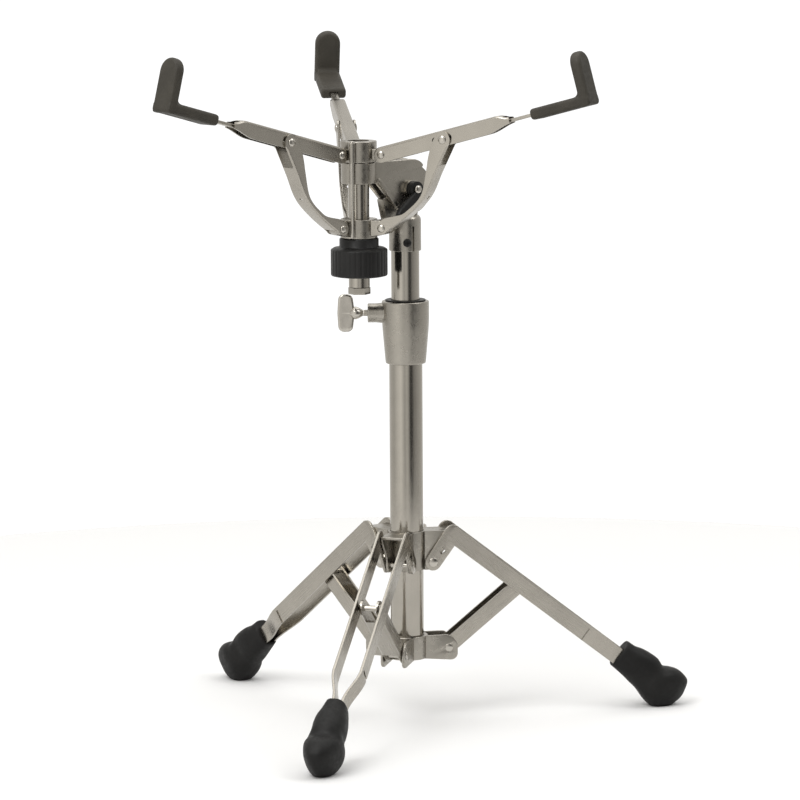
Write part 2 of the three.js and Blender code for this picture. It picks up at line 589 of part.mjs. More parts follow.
function lowerBracket() {
  const here = upright(0);
  const [footX, footZ] = BRACE_FOOT;
  const ear = [[12, LOWER_BOTTOM], [LOWER_EAR_END - 4, LOWER_BOTTOM - 2.5], [LOWER_EAR_END, LOWER_BOTTOM + 1],
    [LOWER_EAR_END, LOWER_TOP - 8], [LOWER_EAR_END - 7, LOWER_TOP], [12, LOWER_TOP]];
  const earIn = BRACE_OUT + GAP;
  const ears = Object.values(LEG_AZIMUTHS).flatMap((azimuth) =>
    [plate(ear, earIn, LOWER_EAR_OUT), plate(ear, -LOWER_EAR_OUT, -earIn)].map((piece) =>
      piece.rotateZ(azimuth * RAD),
    ),
  );
  const holes = Object.values(LEG_AZIMUTHS).map((azimuth) =>
    crossPin([footX, footZ], LEG_PIN_R + GAP, -16, 16).rotateZ(azimuth * RAD),
  );
  const base = disc(LOWER_R, LOWER_BOTTOM, LOWER_TOP);
  const tubeHole = disc(RING_BORE_R, MAIN_BOTTOM - GAP, LOWER_TOP + 5);
  const drain = disc(MAIN_BORE_R - 1, LOWER_BOTTOM - 5, MAIN_BOTTOM + 1);
  add(here, "lower_bracket", cut(join(base, ...ears), tubeHole, drain, ...holes), CAST);
}

// ---------- legs ----------

// A leg strip runs beside its twin, bends in near its lower end and ends inside the foot.
function strip(sign) {
  const out = STRIP_IN + STRIP_THICK;
  const endOut = STRIP_END_IN + STRIP_THICK;
  const path = [[-2, STRIP_IN], [STRIP_BEND_FROM, STRIP_IN], [STRIP_BEND_TO, STRIP_END_IN],
    [STRIP_TO, STRIP_END_IN], [STRIP_TO, endOut], [STRIP_BEND_TO + 0.6, endOut],
    [STRIP_BEND_FROM + 0.6, out], [-2, out]];
  const options = { depth: 2 * LEG_HALF_WIDTH, bevelEnabled: false };
  const along = new THREE.ExtrudeGeometry(polygon(path), options).translate(0, 0, -LEG_HALF_WIDTH);
  if (sign < 0) along.rotateX(Math.PI);
  const straight = inclined(along, KNEE, LEG_SLOPE);
  const from = Math.min(sign * STRIP_IN, sign * out);
  const knee = plate(bar(LEG_PIVOT, KNEE, 7.5, LEG_HALF_WIDTH), from, from + STRIP_THICK);
  return cut(join(straight, knee), crossPin(LEG_PIVOT, LEG_PIN_R + GAP, -20, 20));
}

// The boot, from its mouth to its toe. It is flat where it stands on the floor.
function boot() {
  const rings = BOOT_SECTIONS.map(([along, low, high, half]) =>
    Array.from({ length: 24 }, (_, i) => {
      const turn = (i / 24) * 2 * Math.PI;
      const across = Math.sign(Math.cos(turn)) * Math.abs(Math.cos(turn)) ** (2 / BOOT_SQUARENESS);
      const up = Math.sign(Math.sin(turn)) * Math.abs(Math.sin(turn)) ** (2 / BOOT_SQUARENESS);
      return [along, half * across, (low + high) / 2 + ((high - low) / 2) * up];
    }),
  );
  const room = STRIP_END_IN + STRIP_THICK + GAP;
  const pocket = block([190, STRIP_TO + GAP], [-room, room], [-LEG_HALF_WIDTH - GAP, LEG_HALF_WIDTH + GAP]);
  const shaped = inclined(cut(loft(rings), pocket), KNEE, LEG_SLOPE);
  return clip(shaped, block([100, 400], [-40, 40], [0, 200]));
}

function leg(side, azimuth) {
  const here = upright(azimuth);
  add(here, side + "_leg_strip_a", strip(1), STEEL);
  add(here, side + "_leg_strip_b", strip(-1), STEEL);
  add(here, side + "_foot", boot(), RUBBER);
  add(here, side + "_leg_pin", crossPin(LEG_PIVOT, LEG_PIN_R, -PIN_HALF_LENGTH, PIN_HALF_LENGTH), BRIGHT);

  // The brace is a channel whose web faces down and outward. Its top pin lies between the strips.
  const [footX, footZ] = BRACE_FOOT;
  const [topX, topZ] = LEG_BRACE_POINT;
  const length = Math.hypot(topX - footX, topZ - footZ);
  const slope = Math.atan2(topZ - footZ, topX - footX) / RAD;
  const inner = BRACE_OUT - BRACE_WALL;
  const bodyPlate = plate(bar([0, 0], [length, 0], BRACE_R), -BRACE_OUT, BRACE_OUT);
  const hollow = block([-20, length + 20], [-inner, inner], [-BRACE_R + BRACE_WALL, BRACE_R + 5]);
  const footRoom = block([-20, 12], [-inner, inner], [-20, 20]);
  const topRoom = block([length - 13, length + 20], [-inner, inner], [-20, 20]);
  const footHole = crossPin([0, 0], LEG_PIN_R + GAP, -20, 20);
  const topHole = crossPin([length, 0], LEG_PIN_R + GAP, -20, 20);
  const brace = cut(bodyPlate, hollow, footRoom, topRoom, footHole, topHole);
  add(here, side + "_brace", inclined(brace, BRACE_FOOT, slope), STEEL);
  const topHalf = STRIP_IN - GAP;
  const topPin = crossPin(LEG_BRACE_POINT, LEG_PIN_R, -topHalf, topHalf);
  add(here, side + "_brace_top_pin", topPin, BRIGHT);
  add(here, side + "_brace_foot_pin", crossPin(BRACE_FOOT, LEG_PIN_R, -12.8, 12.8), BRIGHT);
}

column();
tilter();
basket();
for (const [side, azimuth] of Object.entries(ARM_AZIMUTHS)) {
  arm(side, azimuth);
  link(side, azimuth);
}
legCollar();
lowerBracket();
for (const [side, azimuth] of Object.entries(LEG_AZIMUTHS)) leg(side, azimuth);

export default stand;
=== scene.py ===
import math

import bmesh
import bpy
from mathutils import Matrix, Vector


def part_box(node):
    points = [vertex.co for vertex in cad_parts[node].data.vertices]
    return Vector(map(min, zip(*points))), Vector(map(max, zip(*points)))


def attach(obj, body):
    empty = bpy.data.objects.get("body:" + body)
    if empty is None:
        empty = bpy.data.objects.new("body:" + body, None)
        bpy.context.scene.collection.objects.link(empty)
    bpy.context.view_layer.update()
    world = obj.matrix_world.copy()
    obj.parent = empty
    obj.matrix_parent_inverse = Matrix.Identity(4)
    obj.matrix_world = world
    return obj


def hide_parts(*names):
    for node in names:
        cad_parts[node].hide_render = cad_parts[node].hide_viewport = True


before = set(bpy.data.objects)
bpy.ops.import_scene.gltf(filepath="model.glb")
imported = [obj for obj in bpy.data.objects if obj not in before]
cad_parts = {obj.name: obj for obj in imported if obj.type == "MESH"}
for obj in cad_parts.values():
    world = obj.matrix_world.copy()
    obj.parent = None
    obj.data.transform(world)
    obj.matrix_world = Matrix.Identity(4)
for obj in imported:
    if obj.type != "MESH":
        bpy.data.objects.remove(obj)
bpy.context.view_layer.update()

# A folding snare drum stand. Shapes are drawn in millimetres, in upright planes with X outward,
# Y sideways and Z up, and each mesh is turned into metres when it becomes a piece.

MM = 0.001


def axis_of(node):
    low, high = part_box(node)
    return (low.x + high.x) / 2 / MM, (low.y + high.y) / 2 / MM


COLUMN = axis_of("main_tube")
POST = axis_of("basket_post")

# ---------- dimensions, in millimetres ----------

MAIN_R, MAIN_BORE_R = 15.0, 13.4
MAIN_BOTTOM, MAIN_TOP = 58.0, 352.0
UPPER_R, UPPER_BORE_R = 12.7, 11.2
UPPER_BOTTOM, UPPER_TOP = 182.0, 446.0
COLLAR_BOTTOM, COLLAR_TOP = 326.0, 382.5
COLLAR_TOP_R, COLLAR_BOTTOM_R = 21.2, 18.0
COLLAR_BORE_R, BUSH_R = 16.4, 16.1
HEIGHT_BOLT_Z, HEIGHT_BOSS_END = 371.5, 34.0

TILT_Z = 484.0
CUP_R, CUP_BOTTOM, CUP_TOP = 14.4, 428.0, 460.5
TONGUE_HALF, TONGUE_R = 4.2, 19.5
CHEEK_OUT, CHEEK_R = 9.2, 22.8
TILT_BOLT_R = 3.6
POST_DISTANCE, POST_AZIMUTH = 51.5, 217.3
CUP_SCREW_Z, CUP_SCREW_AZIMUTH, CUP_SLIT_AZIMUTH = 436.0, 60, 84
LEVER_IN, LEVER_OUT = 5.6, 12.0

POST_R, POST_BORE_R = 9.4, 7.0
POST_BOTTOM, POST_TOP = 399.0, 527.0
THREAD_PITCH, THREAD_DEPTH, THREAD_STEP = 1.6, 0.5, 0.2
END_NUT_R, END_NUT_BOTTOM = 9.9, 392.5
HUB_R, HUB_BOTTOM, HUB_TOP = 16.4, 510.8, 529.3
BRACKET_R, BRACKET_BOTTOM, BRACKET_TOP = 15.7, 491.6, 510.4
SLIDER_R, SLIDER_BOTTOM, SLIDER_TOP = 16.4, 443.0, 460.0
NUT_NECK_R, NUT_NECK_TOP = 17.5, 442.7
NUT_R, NUT_TOP, NUT_BOTTOM = 25.3, 434.8, 408.6
NUT_RIBS, NUT_RIB_DEPTH = 32, 0.35
# The guide rod is a thin bright bar that paints a highlight: it stands where a streak of reflected light runs
# down the front of the hub, post and slider.
HIGHLIGHT_ROD_R, HIGHLIGHT_ROD_OUT, HIGHLIGHT_ROD_SIDE = 1.7, 18.6, -5.4

ARMS = {"right": -26, "left": -137, "rear": 98}
ARM_PIVOT, ARM_SLOPE = (25.0, 518.0), 15.2
ARM_HALF, ARM_OUT, ARM_WALL = 7.0, 6.4, 1.8
ARM_LENGTH, ARM_LINK_AT, ARM_PIN_R = 129.0, (63.0, -1.0), 2.2
NECK_FROM, NECK_TO, NECK_WIDE, NECK_THICK = 104.0, 184.0, 3.6, 1.5
GRIP_FROM, GRIP_TO, GRIP_THICK, GRIP_HALF, GRIP_HEIGHT = 152.0, 209.7, 10.0, 11.6, 43.0
LINK_FOOT, LINK_OUT, LINK_WALL, LINK_PIN_R = (26.0, 453.0), 8.6, 1.8, 2.0
# How far the link's flanges reach inward of its spine, from its foot to its top.
LINK_RIM = (5.8, 5.0, 1.4, -2.0, -2.6, -2.9, -2.6, -1.2, 0.4, 2.4, 5.2, 7.0, 7.4)

LEGS = {"right": 12, "left": 132, "front": -108}
LEG_SLOPE, KNEE, LEG_PIVOT = -38.0, (39.8, 170.7), (21.5, 145.0)
LEG_HALF, STRIP_IN, STRIP_THICK = 8.0, 11.3, 2.4
BEND_FROM, BEND_TO, STRIP_TO, STRIP_END_IN = 162.0, 191.0, 222.0, 3.2
STRIP_HOLE_AT, STRIP_HOLE_HALF, STRIP_HOLE_TURN = (29.5, 155.5), 2.6, 20
GROOVE_FROM, GROOVE_TO, GROOVE_DEPTH = 155.9, 158.3, 1.5
BRACE_TOP_S, BRACE_FOOT = 81.5, (36.3, 65.5)
BRACE_R, BRACE_OUT, BRACE_WALL = 7.2, 8.6, 2.0
LEG_PIN_R = 2.6

BOOT_SQUARENESS, BOOT_POCKET_FROM = 2.6, 190.0
# Each section of the boot: its place along the leg, its lowest and highest edge, its half width.
BOOT_SECTIONS = [
    (199.0, -10.4, 16.6, 9.5), (208.0, -11.0, 17.0, 12.0), (216.0, -11.8, 19.2, 13.8),
    (224.0, -13.0, 20.2, 14.5), (232.0, -14.0, 20.2, 14.2), (240.0, -16.4, 17.6, 16.6),
    (247.0, -18.2, 20.8, 17.3), (254.0, -18.4, 23.2, 15.6), (262.0, -14.4, 22.7, 12.6),
    (268.0, -8.6, 20.0, 7.8), (272.0, 1.0, 10.0, 2.2),
]

RING_BORE_R = 15.4
LEG_COLLAR_R, LEG_COLLAR_BOTTOM, LEG_COLLAR_TOP = 17.0, 138.0, 173.5
LEG_BOSS_AZIMUTH, LEG_BOSS_END, LEG_BOLT_Z = 72, 29.0, 156.0
LOWER_R, LOWER_BOTTOM, LOWER_TOP, LOWER_EAR_OUT, LOWER_EAR_END = 18.6, 56.5, 77.5, 11.1, 44.5

BOLT_R = 3.0  # the wing bolts' shanks
HEIGHT_WINGS, LEG_WINGS = (17, 14.5), (15, 13)  # half the span of the wings, and their depth
# The radius of each pin's domed heads.
PIN_HEAD = {"arm": 3.6, "link_foot": 3.6, "link_top": 3.8, "leg": 4.2, "brace_foot": 3.8, "brace_top": 4.4}
FOLD_R, SHARP = 2.6, 0.02  # a channel's rounded and cut edges
GAP = 0.3  # between neighbours
FINE = 96  # sides of a large round

# ---------- studio, in metres and radians, but the lens in millimetres ----------

SENSOR, LENS, FAR_CLIP = 36, 197.82, 60
CAMERA_PITCH, CAMERA_ROLL = 0.145, 0.006
CAMERA_SIDE, CAMERA_BACK, CAMERA_HEIGHT = -0.0054, -3.918, 0.8644
FLOOR_R, FLOOR_SIDES, FLOOR_COLOUR = 1.1, 128, (0.71, 0.71, 0.708, 1)
# Brightness of the walls by heading, in degrees from +X, seen from above.
WALLS = [
    (-180, 0.62), (-150, 0.9), (-125, 1.05), (-100, 0.55), (-84, 0.72), (-72, 0.5), (-62, 0.08),
    (-48, 0.06), (-34, 0.3), (0, 0.5), (60, 0.72), (120, 0.72), (180, 0.62),
]
WALL_STRENGTH, PLAIN_STRENGTH = 1.28, 1.1

# ---------- outlines ----------


def arc(x, y, radius, start, end, steps=16):
    turns = [math.radians(start + (end - start) * i / steps) for i in range(steps + 1)]
    return [(x + radius * math.cos(turn), y + radius * math.sin(turn)) for turn in turns]


def circle(x, y, radius, steps=40):
    return arc(x, y, radius, 0, 360, steps)[:-1]


def bar(a, b, radius_a, radius_b=None):
    """The outline of a bar with round ends at two points."""
    heading = math.degrees(math.atan2(b[1] - a[1], b[0] - a[0]))
    radius_b = radius_b or radius_a
    return arc(*a, radius_a, heading + 90, heading + 270) + arc(*b, radius_b, heading - 90, heading + 90)


def soften(points, radius, steps=5, closed=True):
    """Rounds the corners of an outline. A point may carry its own radius as a third number."""
    result = []
    count = len(points)
    for i, point in enumerate(points):
        if not closed and i in (0, count - 1):
            result.append(tuple(point[:2]))
            continue
        here = Vector(point[:2])
        before = Vector(points[i - 1][:2]) - here
        after = Vector(points[(i + 1) % count][:2]) - here
        size = point[2] if len(point) > 2 else radius
        start = here + before * min(size / max(before.length, 1e-6), 0.48)
        end = here + after * min(size / max(after.length, 1e-6), 0.48)
        for k in range(steps + 1):
            t = k / steps
            result.append(tuple(start * (1 - t) ** 2 + here * 2 * t * (1 - t) + end * t * t))
    return result


def rectangle(left, right, low, high, corner):
    return soften([(left, low), (right, low), (right, high), (left, high)], corner)


def on_line(origin, degrees, along, up):
    """A point given along and above a sloping line, in the plane that holds the line."""
    cosine, sine = math.cos(math.radians(degrees)), math.sin(math.radians(degrees))
    return origin[0] + along * cosine - up * sine, origin[1] + along * sine + up * cosine


def curve_at(a, b, c, d, t):
    """The place and slope on a Catmull-Rom curve, at a share t of the way from b to c."""
    square = 2 * a - 5 * b + 4 * c - d
    cube = 3 * b - a - 3 * c + d
    place = 0.5 * (2 * b + (c - a) * t + square * t * t + cube * t ** 3)
    slope = 0.5 * ((c - a) + 2 * square * t + 3 * cube * t * t)
    return place, slope


def smooth_curve(points, steps):
    """Points and headings along a Catmull-Rom curve, whose ends are mirrored."""
    ends = [tuple(2 * Vector(points[0]) - Vector(points[1]))]
    tail = [tuple(2 * Vector(points[-1]) - Vector(points[-2]))]
    knots = [Vector(p) for p in ends + list(points) + tail]
    result = []
    for i in range(steps + 1):
        u = i / steps * (len(points) - 1)
        k = min(int(u), len(points) - 2)
        t = u - k
        place, slope = curve_at(*knots[k:k + 4], t)
        result.append((place, slope.normalized()))
    return result


def between(rows, u):
    """A row on the smooth curve through rows of numbers, at u rows from the first."""
    k = min(int(u), len(rows) - 2)
    t = u - k
    near = [rows[max(min(k + j, len(rows) - 1), 0)] for j in (-1, 0, 1, 2)]
    return [curve_at(*knots, t)[0] for knots in zip(*near)]


def eased(t):
    """A smooth rise from 0 to 1 as t does, and flat outside."""
    t = min(max(t, 0.0), 1.0)
    return t * t * (3 - 2 * t)


# ---------- solids ----------


def solid(vertices, faces):
    mesh = bpy.data.meshes.new("solid")
    mesh.from_pydata([tuple(v) for v in vertices], [], faces)
    return settled(mesh)


def settled(mesh):
    """An object of this mesh, its vertices welded and its faces turned outward."""
    work = bmesh.new()
    work.from_mesh(mesh)
    bmesh.ops.remove_doubles(work, verts=work.verts, dist=1e-4)
    bmesh.ops.recalc_face_normals(work, faces=work.faces)
    work.to_mesh(mesh)
    work.free()
    made = bpy.data.objects.new("solid", mesh)
    bpy.context.scene.collection.objects.link(made)
    return made


def remade(obj):
    """Gives an object the mesh that its modifiers make."""
    bpy.context.view_layer.update()
    graph = bpy.context.evaluated_depsgraph_get()
    mesh = bpy.data.meshes.new_from_object(obj.evaluated_get(graph))
    obj.modifiers.clear()
    obj.data = mesh
    return obj


def combine(base, tools, operation):
    for tool in tools:
        step = base.modifiers.new("step", "BOOLEAN")
        step.operation = operation
        step.solver = "MANIFOLD"
        step.object = tool
    remade(base)
    for tool in tools:
        bpy.data.objects.remove(tool)
    return base


def join(base, *others):
    return combine(base, others, "UNION")


def cut(base, *tools):
    return combine(base, tools, "DIFFERENCE")


def keep(base, tool):
    return combine(base, [tool], "INTERSECT")


def moved(obj, x=0.0, y=0.0, z=0.0):
    obj.data.transform(Matrix.Translation((x, y, z)))
    return obj


def turned(obj, degrees, axis="Z"):
    obj.data.transform(Matrix.Rotation(math.radians(degrees), 4, axis))
    return obj


def mirrored(obj):
    """The same solid on the other side of the upright plane."""
    other = bpy.data.objects.new("solid", obj.data.copy())
    bpy.context.scene.collection.objects.link(other)
    other.data.transform(Matrix.Scale(-1, 4, (0, 1, 0)))
    other.data.flip_normals()
    return other


def lathe(profile, sides=FINE, closed=False, ripple=None):
    """A solid of revolution about Z. ripple(turn, height) changes the radius."""
    vertices, rings = [], []
    for radius, height in profile:
        count = 1 if radius < 1e-6 else sides
        rings.append(list(range(len(vertices), len(vertices) + count)))
        for i in range(count):
            turn = 2 * math.pi * i / sides
            r = radius + (ripple(turn, height) if ripple and count > 1 else 0.0)
            vertices.append((r * math.cos(turn), r * math.sin(turn), height))
    faces = []
    following = rings[1:] + ([rings[0]] if closed else [])
    for low, high in zip(rings, following):
        for i in range(sides):
            k = (i + 1) % sides
            corners = [low[i % len(low)], low[k % len(low)], high[k % len(high)], high[i % len(high)]]
            faces.append(list(dict.fromkeys(corners)))
    return solid(vertices, faces)


def disc(radius, bottom, top, edge=0.5, sides=FINE):
    profile = [(0, bottom), (radius, bottom), (radius, top), (0, top)]
    return lathe(soften(profile, edge, closed=False), sides)


def tube(inner, outer, bottom, top, edge=0.4, sides=FINE):
    profile = [(inner, bottom), (outer, bottom), (outer, top), (inner, top)]
    return lathe(soften(profile, edge), sides, closed=True)


def plate(outline, low, high, edge=0.4, holes=()):
    """An upright plate with rounded edges, from an outline in X and Z, between two places on Y."""
    curve = bpy.data.curves.new("outline", "CURVE")
    curve.dimensions = "2D"
    curve.fill_mode = "BOTH"
    curve.extrude = (high - low) / 2 - edge
    curve.bevel_depth = edge
    curve.bevel_resolution = 2
    curve.offset = -edge
    for loop in (outline, *holes):
        spline = curve.splines.new("POLY")
        spline.points.add(len(loop) - 1)
        for point, place in zip(spline.points, loop):
            point.co = (place[0], place[1], 0, 1)
        spline.use_cyclic_u = True
    holder = bpy.data.objects.new("outline", curve)
    bpy.context.scene.collection.objects.link(holder)
    bpy.context.view_layer.update()
    graph = bpy.context.evaluated_depsgraph_get()
    mesh = bpy.data.meshes.new_from_object(holder.evaluated_get(graph))
    bpy.data.objects.remove(holder)
    swap = Matrix(((1, 0, 0, 0), (0, 0, 1, (low + high) / 2), (0, 1, 0, 0), (0, 0, 0, 1)))
    mesh.transform(swap)
    return settled(mesh)


def pair(outline, inner, outer, edge=0.4, holes=()):
    """Two plates, one on each side of the upright plane."""
    one = plate(outline, inner, outer, edge, holes)
    return join(one, mirrored(one))


def block(xs, ys, zs, edge=0.0):
    """A box between pairs of places on X, Y and Z."""
    corners = [(xs[0], zs[0]), (xs[1], zs[0]), (xs[1], zs[1]), (xs[0], zs[1])]
    if edge:
        return plate(soften(corners, edge), ys[0], ys[1], edge * 0.6)
    vertices = [(x, y, z) for y in ys for x, z in corners]
    faces = [(0, 1, 2, 3), (4, 5, 6, 7), (0, 1, 5, 4), (1, 2, 6, 5), (2, 3, 7, 6), (3, 0, 4, 7)]
    return solid(vertices, faces)


def cross(point, radius, low, high, sides=40):
    """A cylinder across the upright plane."""
    made = turned(disc(radius, low, high, 0.01, sides), -90, "X")
    return moved(made, point[0], 0, point[1])


def pivot_hole(point, pin_r):
    """A cutter that leaves room for a pin across the upright plane."""
    return cross(point, pin_r + GAP, -20, 20)


def through_hole(radius, bottom, top, sides=FINE):
    """A cutter for an upright hole, reaching past both ends."""
    return disc(radius, bottom - 5, top + 5, sides=sides)


def outward(radius, start, end, azimuth=0, height=0.0):
    """A cylinder that points away from the axis."""
    made = turned(disc(radius, start, end, 0.01, 48), 90, "Y")
    return moved(turned(made, azimuth), z=height)


def loft(sections):
    """A skin over closed sections that have the same number of points, with a cap on each end."""
    count = len(sections[0])
    vertices = [p for section in sections for p in section]
    faces = [list(range(count)), list(range((len(sections) - 1) * count, len(sections) * count))]
    for k in range(len(sections) - 1):
        for i in range(count):
            n = (i + 1) % count
            faces.append([k * count + i, k * count + n, (k + 1) * count + n, (k + 1) * count + i])
    return solid(vertices, faces)


def rivet(point, radius, half, head_r, seat):
    """A pin across the upright plane, with a domed head outside each seat."""
    dome = arc(0, 0, 1, 0, 90, 8)
    profile = [(0, -half)]
    for x, y in reversed(dome):
        profile.append((head_r * x, -seat - (half - seat) * y))
    profile += [(head_r, -seat), (radius, -seat), (radius, seat), (head_r, seat)]
    for x, y in dome:
        profile.append((head_r * x, seat + (half - seat) * y))
    cleaned = [p for i, p in enumerate(profile) if i == 0 or math.dist(p, profile[i - 1]) > 1e-5]
    made = turned(lathe(cleaned, 40), -90, "X")
    return moved(made, point[0], 0, point[1])


# ---------- materials ----------


class Nodes:
    """A material's node tree, with the nodes that most of the finishes share."""

    def __init__(self, name):
        self.material = bpy.data.materials.new(name)
        self.material.use_nodes = True
        self.tree = self.material.node_tree
        self.surface = self.tree.nodes["Principled BSDF"]
        self.place = self.tree.nodes.new("ShaderNodeTexCoord").outputs["Object"]

    def link(self, output, socket):
        self.tree.links.new(output, socket)

    def drive(self, socket, output):
        self.link(output, self.surface.inputs[socket])

    def noise(self, scale, detail=4.0, rough=0.55, stretch=(1, 1, 1)):
        mapping = self.tree.nodes.new("ShaderNodeMapping")
        mapping.inputs["Scale"].default_value = stretch
        self.link(self.place, mapping.inputs["Vector"])
        made = self.tree.nodes.new("ShaderNodeTexNoise")
        made.inputs["Scale"].default_value = scale
        made.inputs["Detail"].default_value = detail
        made.inputs["Roughness"].default_value = rough
        self.link(mapping.outputs["Vector"], made.inputs["Vector"])
        return made.outputs["Fac"]

    def ramp(self, fac, stops):
        made = self.tree.nodes.new("ShaderNodeValToRGB")
        elements = made.color_ramp.elements
        while len(elements) < len(stops):
            elements.new(0.5)
        for element, (position, colour) in zip(elements, stops):
            element.position = position
            element.color = (*colour, 1) if isinstance(colour, tuple) else (colour,) * 3 + (1,)
        self.link(fac, made.inputs["Fac"])
        return made.outputs["Color"]

    def bump(self, height, strength, distance, normal=None):
        made = self.tree.nodes.new("ShaderNodeBump")
        made.inputs["Strength"].default_value = strength
        made.inputs["Distance"].default_value = distance
        self.link(height, made.inputs["Height"])
        if normal:
            self.link(normal, made.inputs["Normal"])
        return made.outputs["Normal"]


def shaded(tint, share):
    return tuple(level * share for level in tint)


def plated(name, tint, rough, grain, stretch):
    """Plated metal: a tone that drifts, fine lines along the metal, and a slight unevenness."""
    nodes = Nodes(name)
    nodes.surface.inputs["Metallic"].default_value = 1.0
    nodes.drive("Base Color", nodes.ramp(nodes.noise(38, 3), [(0.35, shaded(tint, 0.92)), (0.65, tint)]))
    lines = nodes.noise(900, 2, 0.6, stretch)
    nodes.drive("Roughness", nodes.ramp(lines, [(0.25, rough * 0.75), (0.8, rough * 1.35)]))
    drawn = nodes.bump(lines, grain, 0.00002)
    nodes.drive("Normal", nodes.bump(nodes.noise(160, 3), 0.04, 0.00005, drawn))
    return nodes.material


def cast_metal(name, tint, rough):
    """A plated die casting: a faint orange-peel skin over a slightly duller tone."""
    nodes = Nodes(name)
    nodes.surface.inputs["Metallic"].default_value = 1.0
    nodes.drive("Base Color", nodes.ramp(nodes.noise(55, 4), [(0.3, shaded(tint, 0.9)), (0.7, tint)]))
    nodes.drive("Roughness", nodes.ramp(nodes.noise(240, 3), [(0.3, rough * 0.8), (0.75, rough * 1.3)]))
    peel = nodes.bump(nodes.noise(420, 2), 0.03, 0.00004)
    nodes.drive("Normal", nodes.bump(nodes.noise(90, 2), 0.03, 0.0001, peel))
    return nodes.material


def rubber(name, tint, rough, grain, fade):
    """Moulded rubber: a fine grain, and a paler bloom in broad soft patches."""
    nodes = Nodes(name)
    pale = shaded(tint, fade)
    nodes.drive("Base Color", nodes.ramp(nodes.noise(45, 5), [(0.38, tint), (0.72, pale)]))
    dull = min(rough * 1.15, 1)
    nodes.drive("Roughness", nodes.ramp(nodes.noise(300, 3), [(0.3, rough * 0.85), (0.7, dull)]))
    nodes.surface.inputs["Specular IOR Level"].default_value = 0.22
    fine = nodes.bump(nodes.noise(2600, 2), grain, 0.00008)
    nodes.drive("Normal", nodes.bump(nodes.noise(210, 4), grain * 0.6, 0.00012, fine))
    return nodes.material


STEEL_TINT = (0.37, 0.347, 0.306)
CAST_TINT = (0.35, 0.329, 0.29)
BRIGHT_TINT = (0.47, 0.445, 0.4)

FINISH = {
    "tube": ("satin_steel", plated("tube_plating", STEEL_TINT, 0.16, 0.25, (1, 1, 0.03))),
    "strip": ("satin_steel", plated("strip_plating", STEEL_TINT, 0.24, 0.35, (0.04, 1, 1))),
    "cast": ("cast_metal", cast_metal("cast_plating", CAST_TINT, 0.3)),
    "bright": ("bright_metal", plated("bright_plating", BRIGHT_TINT, 0.2, 0.15, (1, 1, 1))),
    "nylon": ("black_nylon", rubber("black_nylon", (0.0095, 0.0093, 0.009), 0.42, 0.14, 1.5)),
    "boot": ("boot_rubber", rubber("boot_rubber", (0.0045, 0.0043, 0.004), 0.55, 0.25, 1.9)),
    "grip": ("grip_rubber", rubber("grip_rubber", (0.036, 0.0325, 0.026), 0.6, 0.2, 1.35)),
}

# ---------- pieces ----------


def at(axis, azimuth=0.0, origin=(0.0, 0.0), slope=0.0):
    """The place of an upright plane's own frame, or of a sloping frame in it, in metres."""
    spot = Matrix.Translation((axis[0] * MM, axis[1] * MM, 0))
    spot = spot @ Matrix.Rotation(math.radians(azimuth), 4, "Z")
    lift = Matrix.Translation((origin[0] * MM, 0, origin[1] * MM))
    return spot @ lift @ Matrix.Rotation(-math.radians(slope), 4, "Y")


def finished(obj, smooth=38.0):
    """Turns a solid's mesh into metres, smooth where it curves."""
    mesh = obj.data
    mesh.transform(Matrix.Scale(MM, 4))
    mesh.polygons.foreach_set("use_smooth", [True] * len(mesh.polygons))
    mesh.set_sharp_from_angle(angle=math.radians(smooth))
    bpy.data.objects.remove(obj)
    return mesh


def piece(name, mesh, place, body, finish, node=None):
    """Puts a finished mesh in place of a node, which has the piece's own name unless given."""
    made = bpy.data.objects.new(name + "_fine", mesh)
    bpy.context.scene.collection.objects.link(made)
    slot, material = FINISH[finish]
    mesh.materials.clear()
    mesh.materials.append(material)
    made.matrix_world = place
    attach(made, body)
    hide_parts(node or name)
    return made


# ---------- column ----------


def wing_bolt(start, boss_end, wing_half, wing_depth):
    """A wing bolt along X: a threaded shank, a waist, a bell and two rounded wings."""
    waist = boss_end + 5
    bell = waist + 9
    turns = range(int((waist - start - 2) * 2))
    thread = [(BOLT_R - (0.28 if i % 2 else 0.0), start + 0.8 + i * 0.5) for i in turns]
    body = [(2.7, waist - 0.9), (3.2, waist), (4.8, waist + 2.6), (5.9, waist + 5.4), (5.6, waist + 7.4),
            (4.2, bell + 0.4), (2.3, bell + 2.4), (1.6, bell + 4), (0, bell + 4.4)]
    profile = [(0, start), (2.4, start)] + thread + soften([thread[-1]] + body, 0.8, closed=False)[1:]
    stem = turned(lathe(profile, 48), 90, "Y")
    inner, curl = bell - 2, wing_depth * 0.36
    outer = inner + wing_depth
    outline = [(inner, -4), (inner + 1, curl - wing_half)]
    outline += arc(inner + 1 + curl, curl - wing_half, curl, 180, 270, 8)[1:]
    outline += arc(outer - curl, curl - wing_half, curl, 270, 360, 8)
    outline += [(outer + 0.5, -4), (outer + 0.7, 0), (outer + 0.5, 4)]
    outline += arc(outer - curl, wing_half - curl, curl, 0, 90, 8)
    outline += arc(inner + 1 + curl, wing_half - curl, curl, 90, 180, 8)
    outline += [(inner, 4)]
    return join(stem, plate(outline, -2.4, 2.4, 1.7))


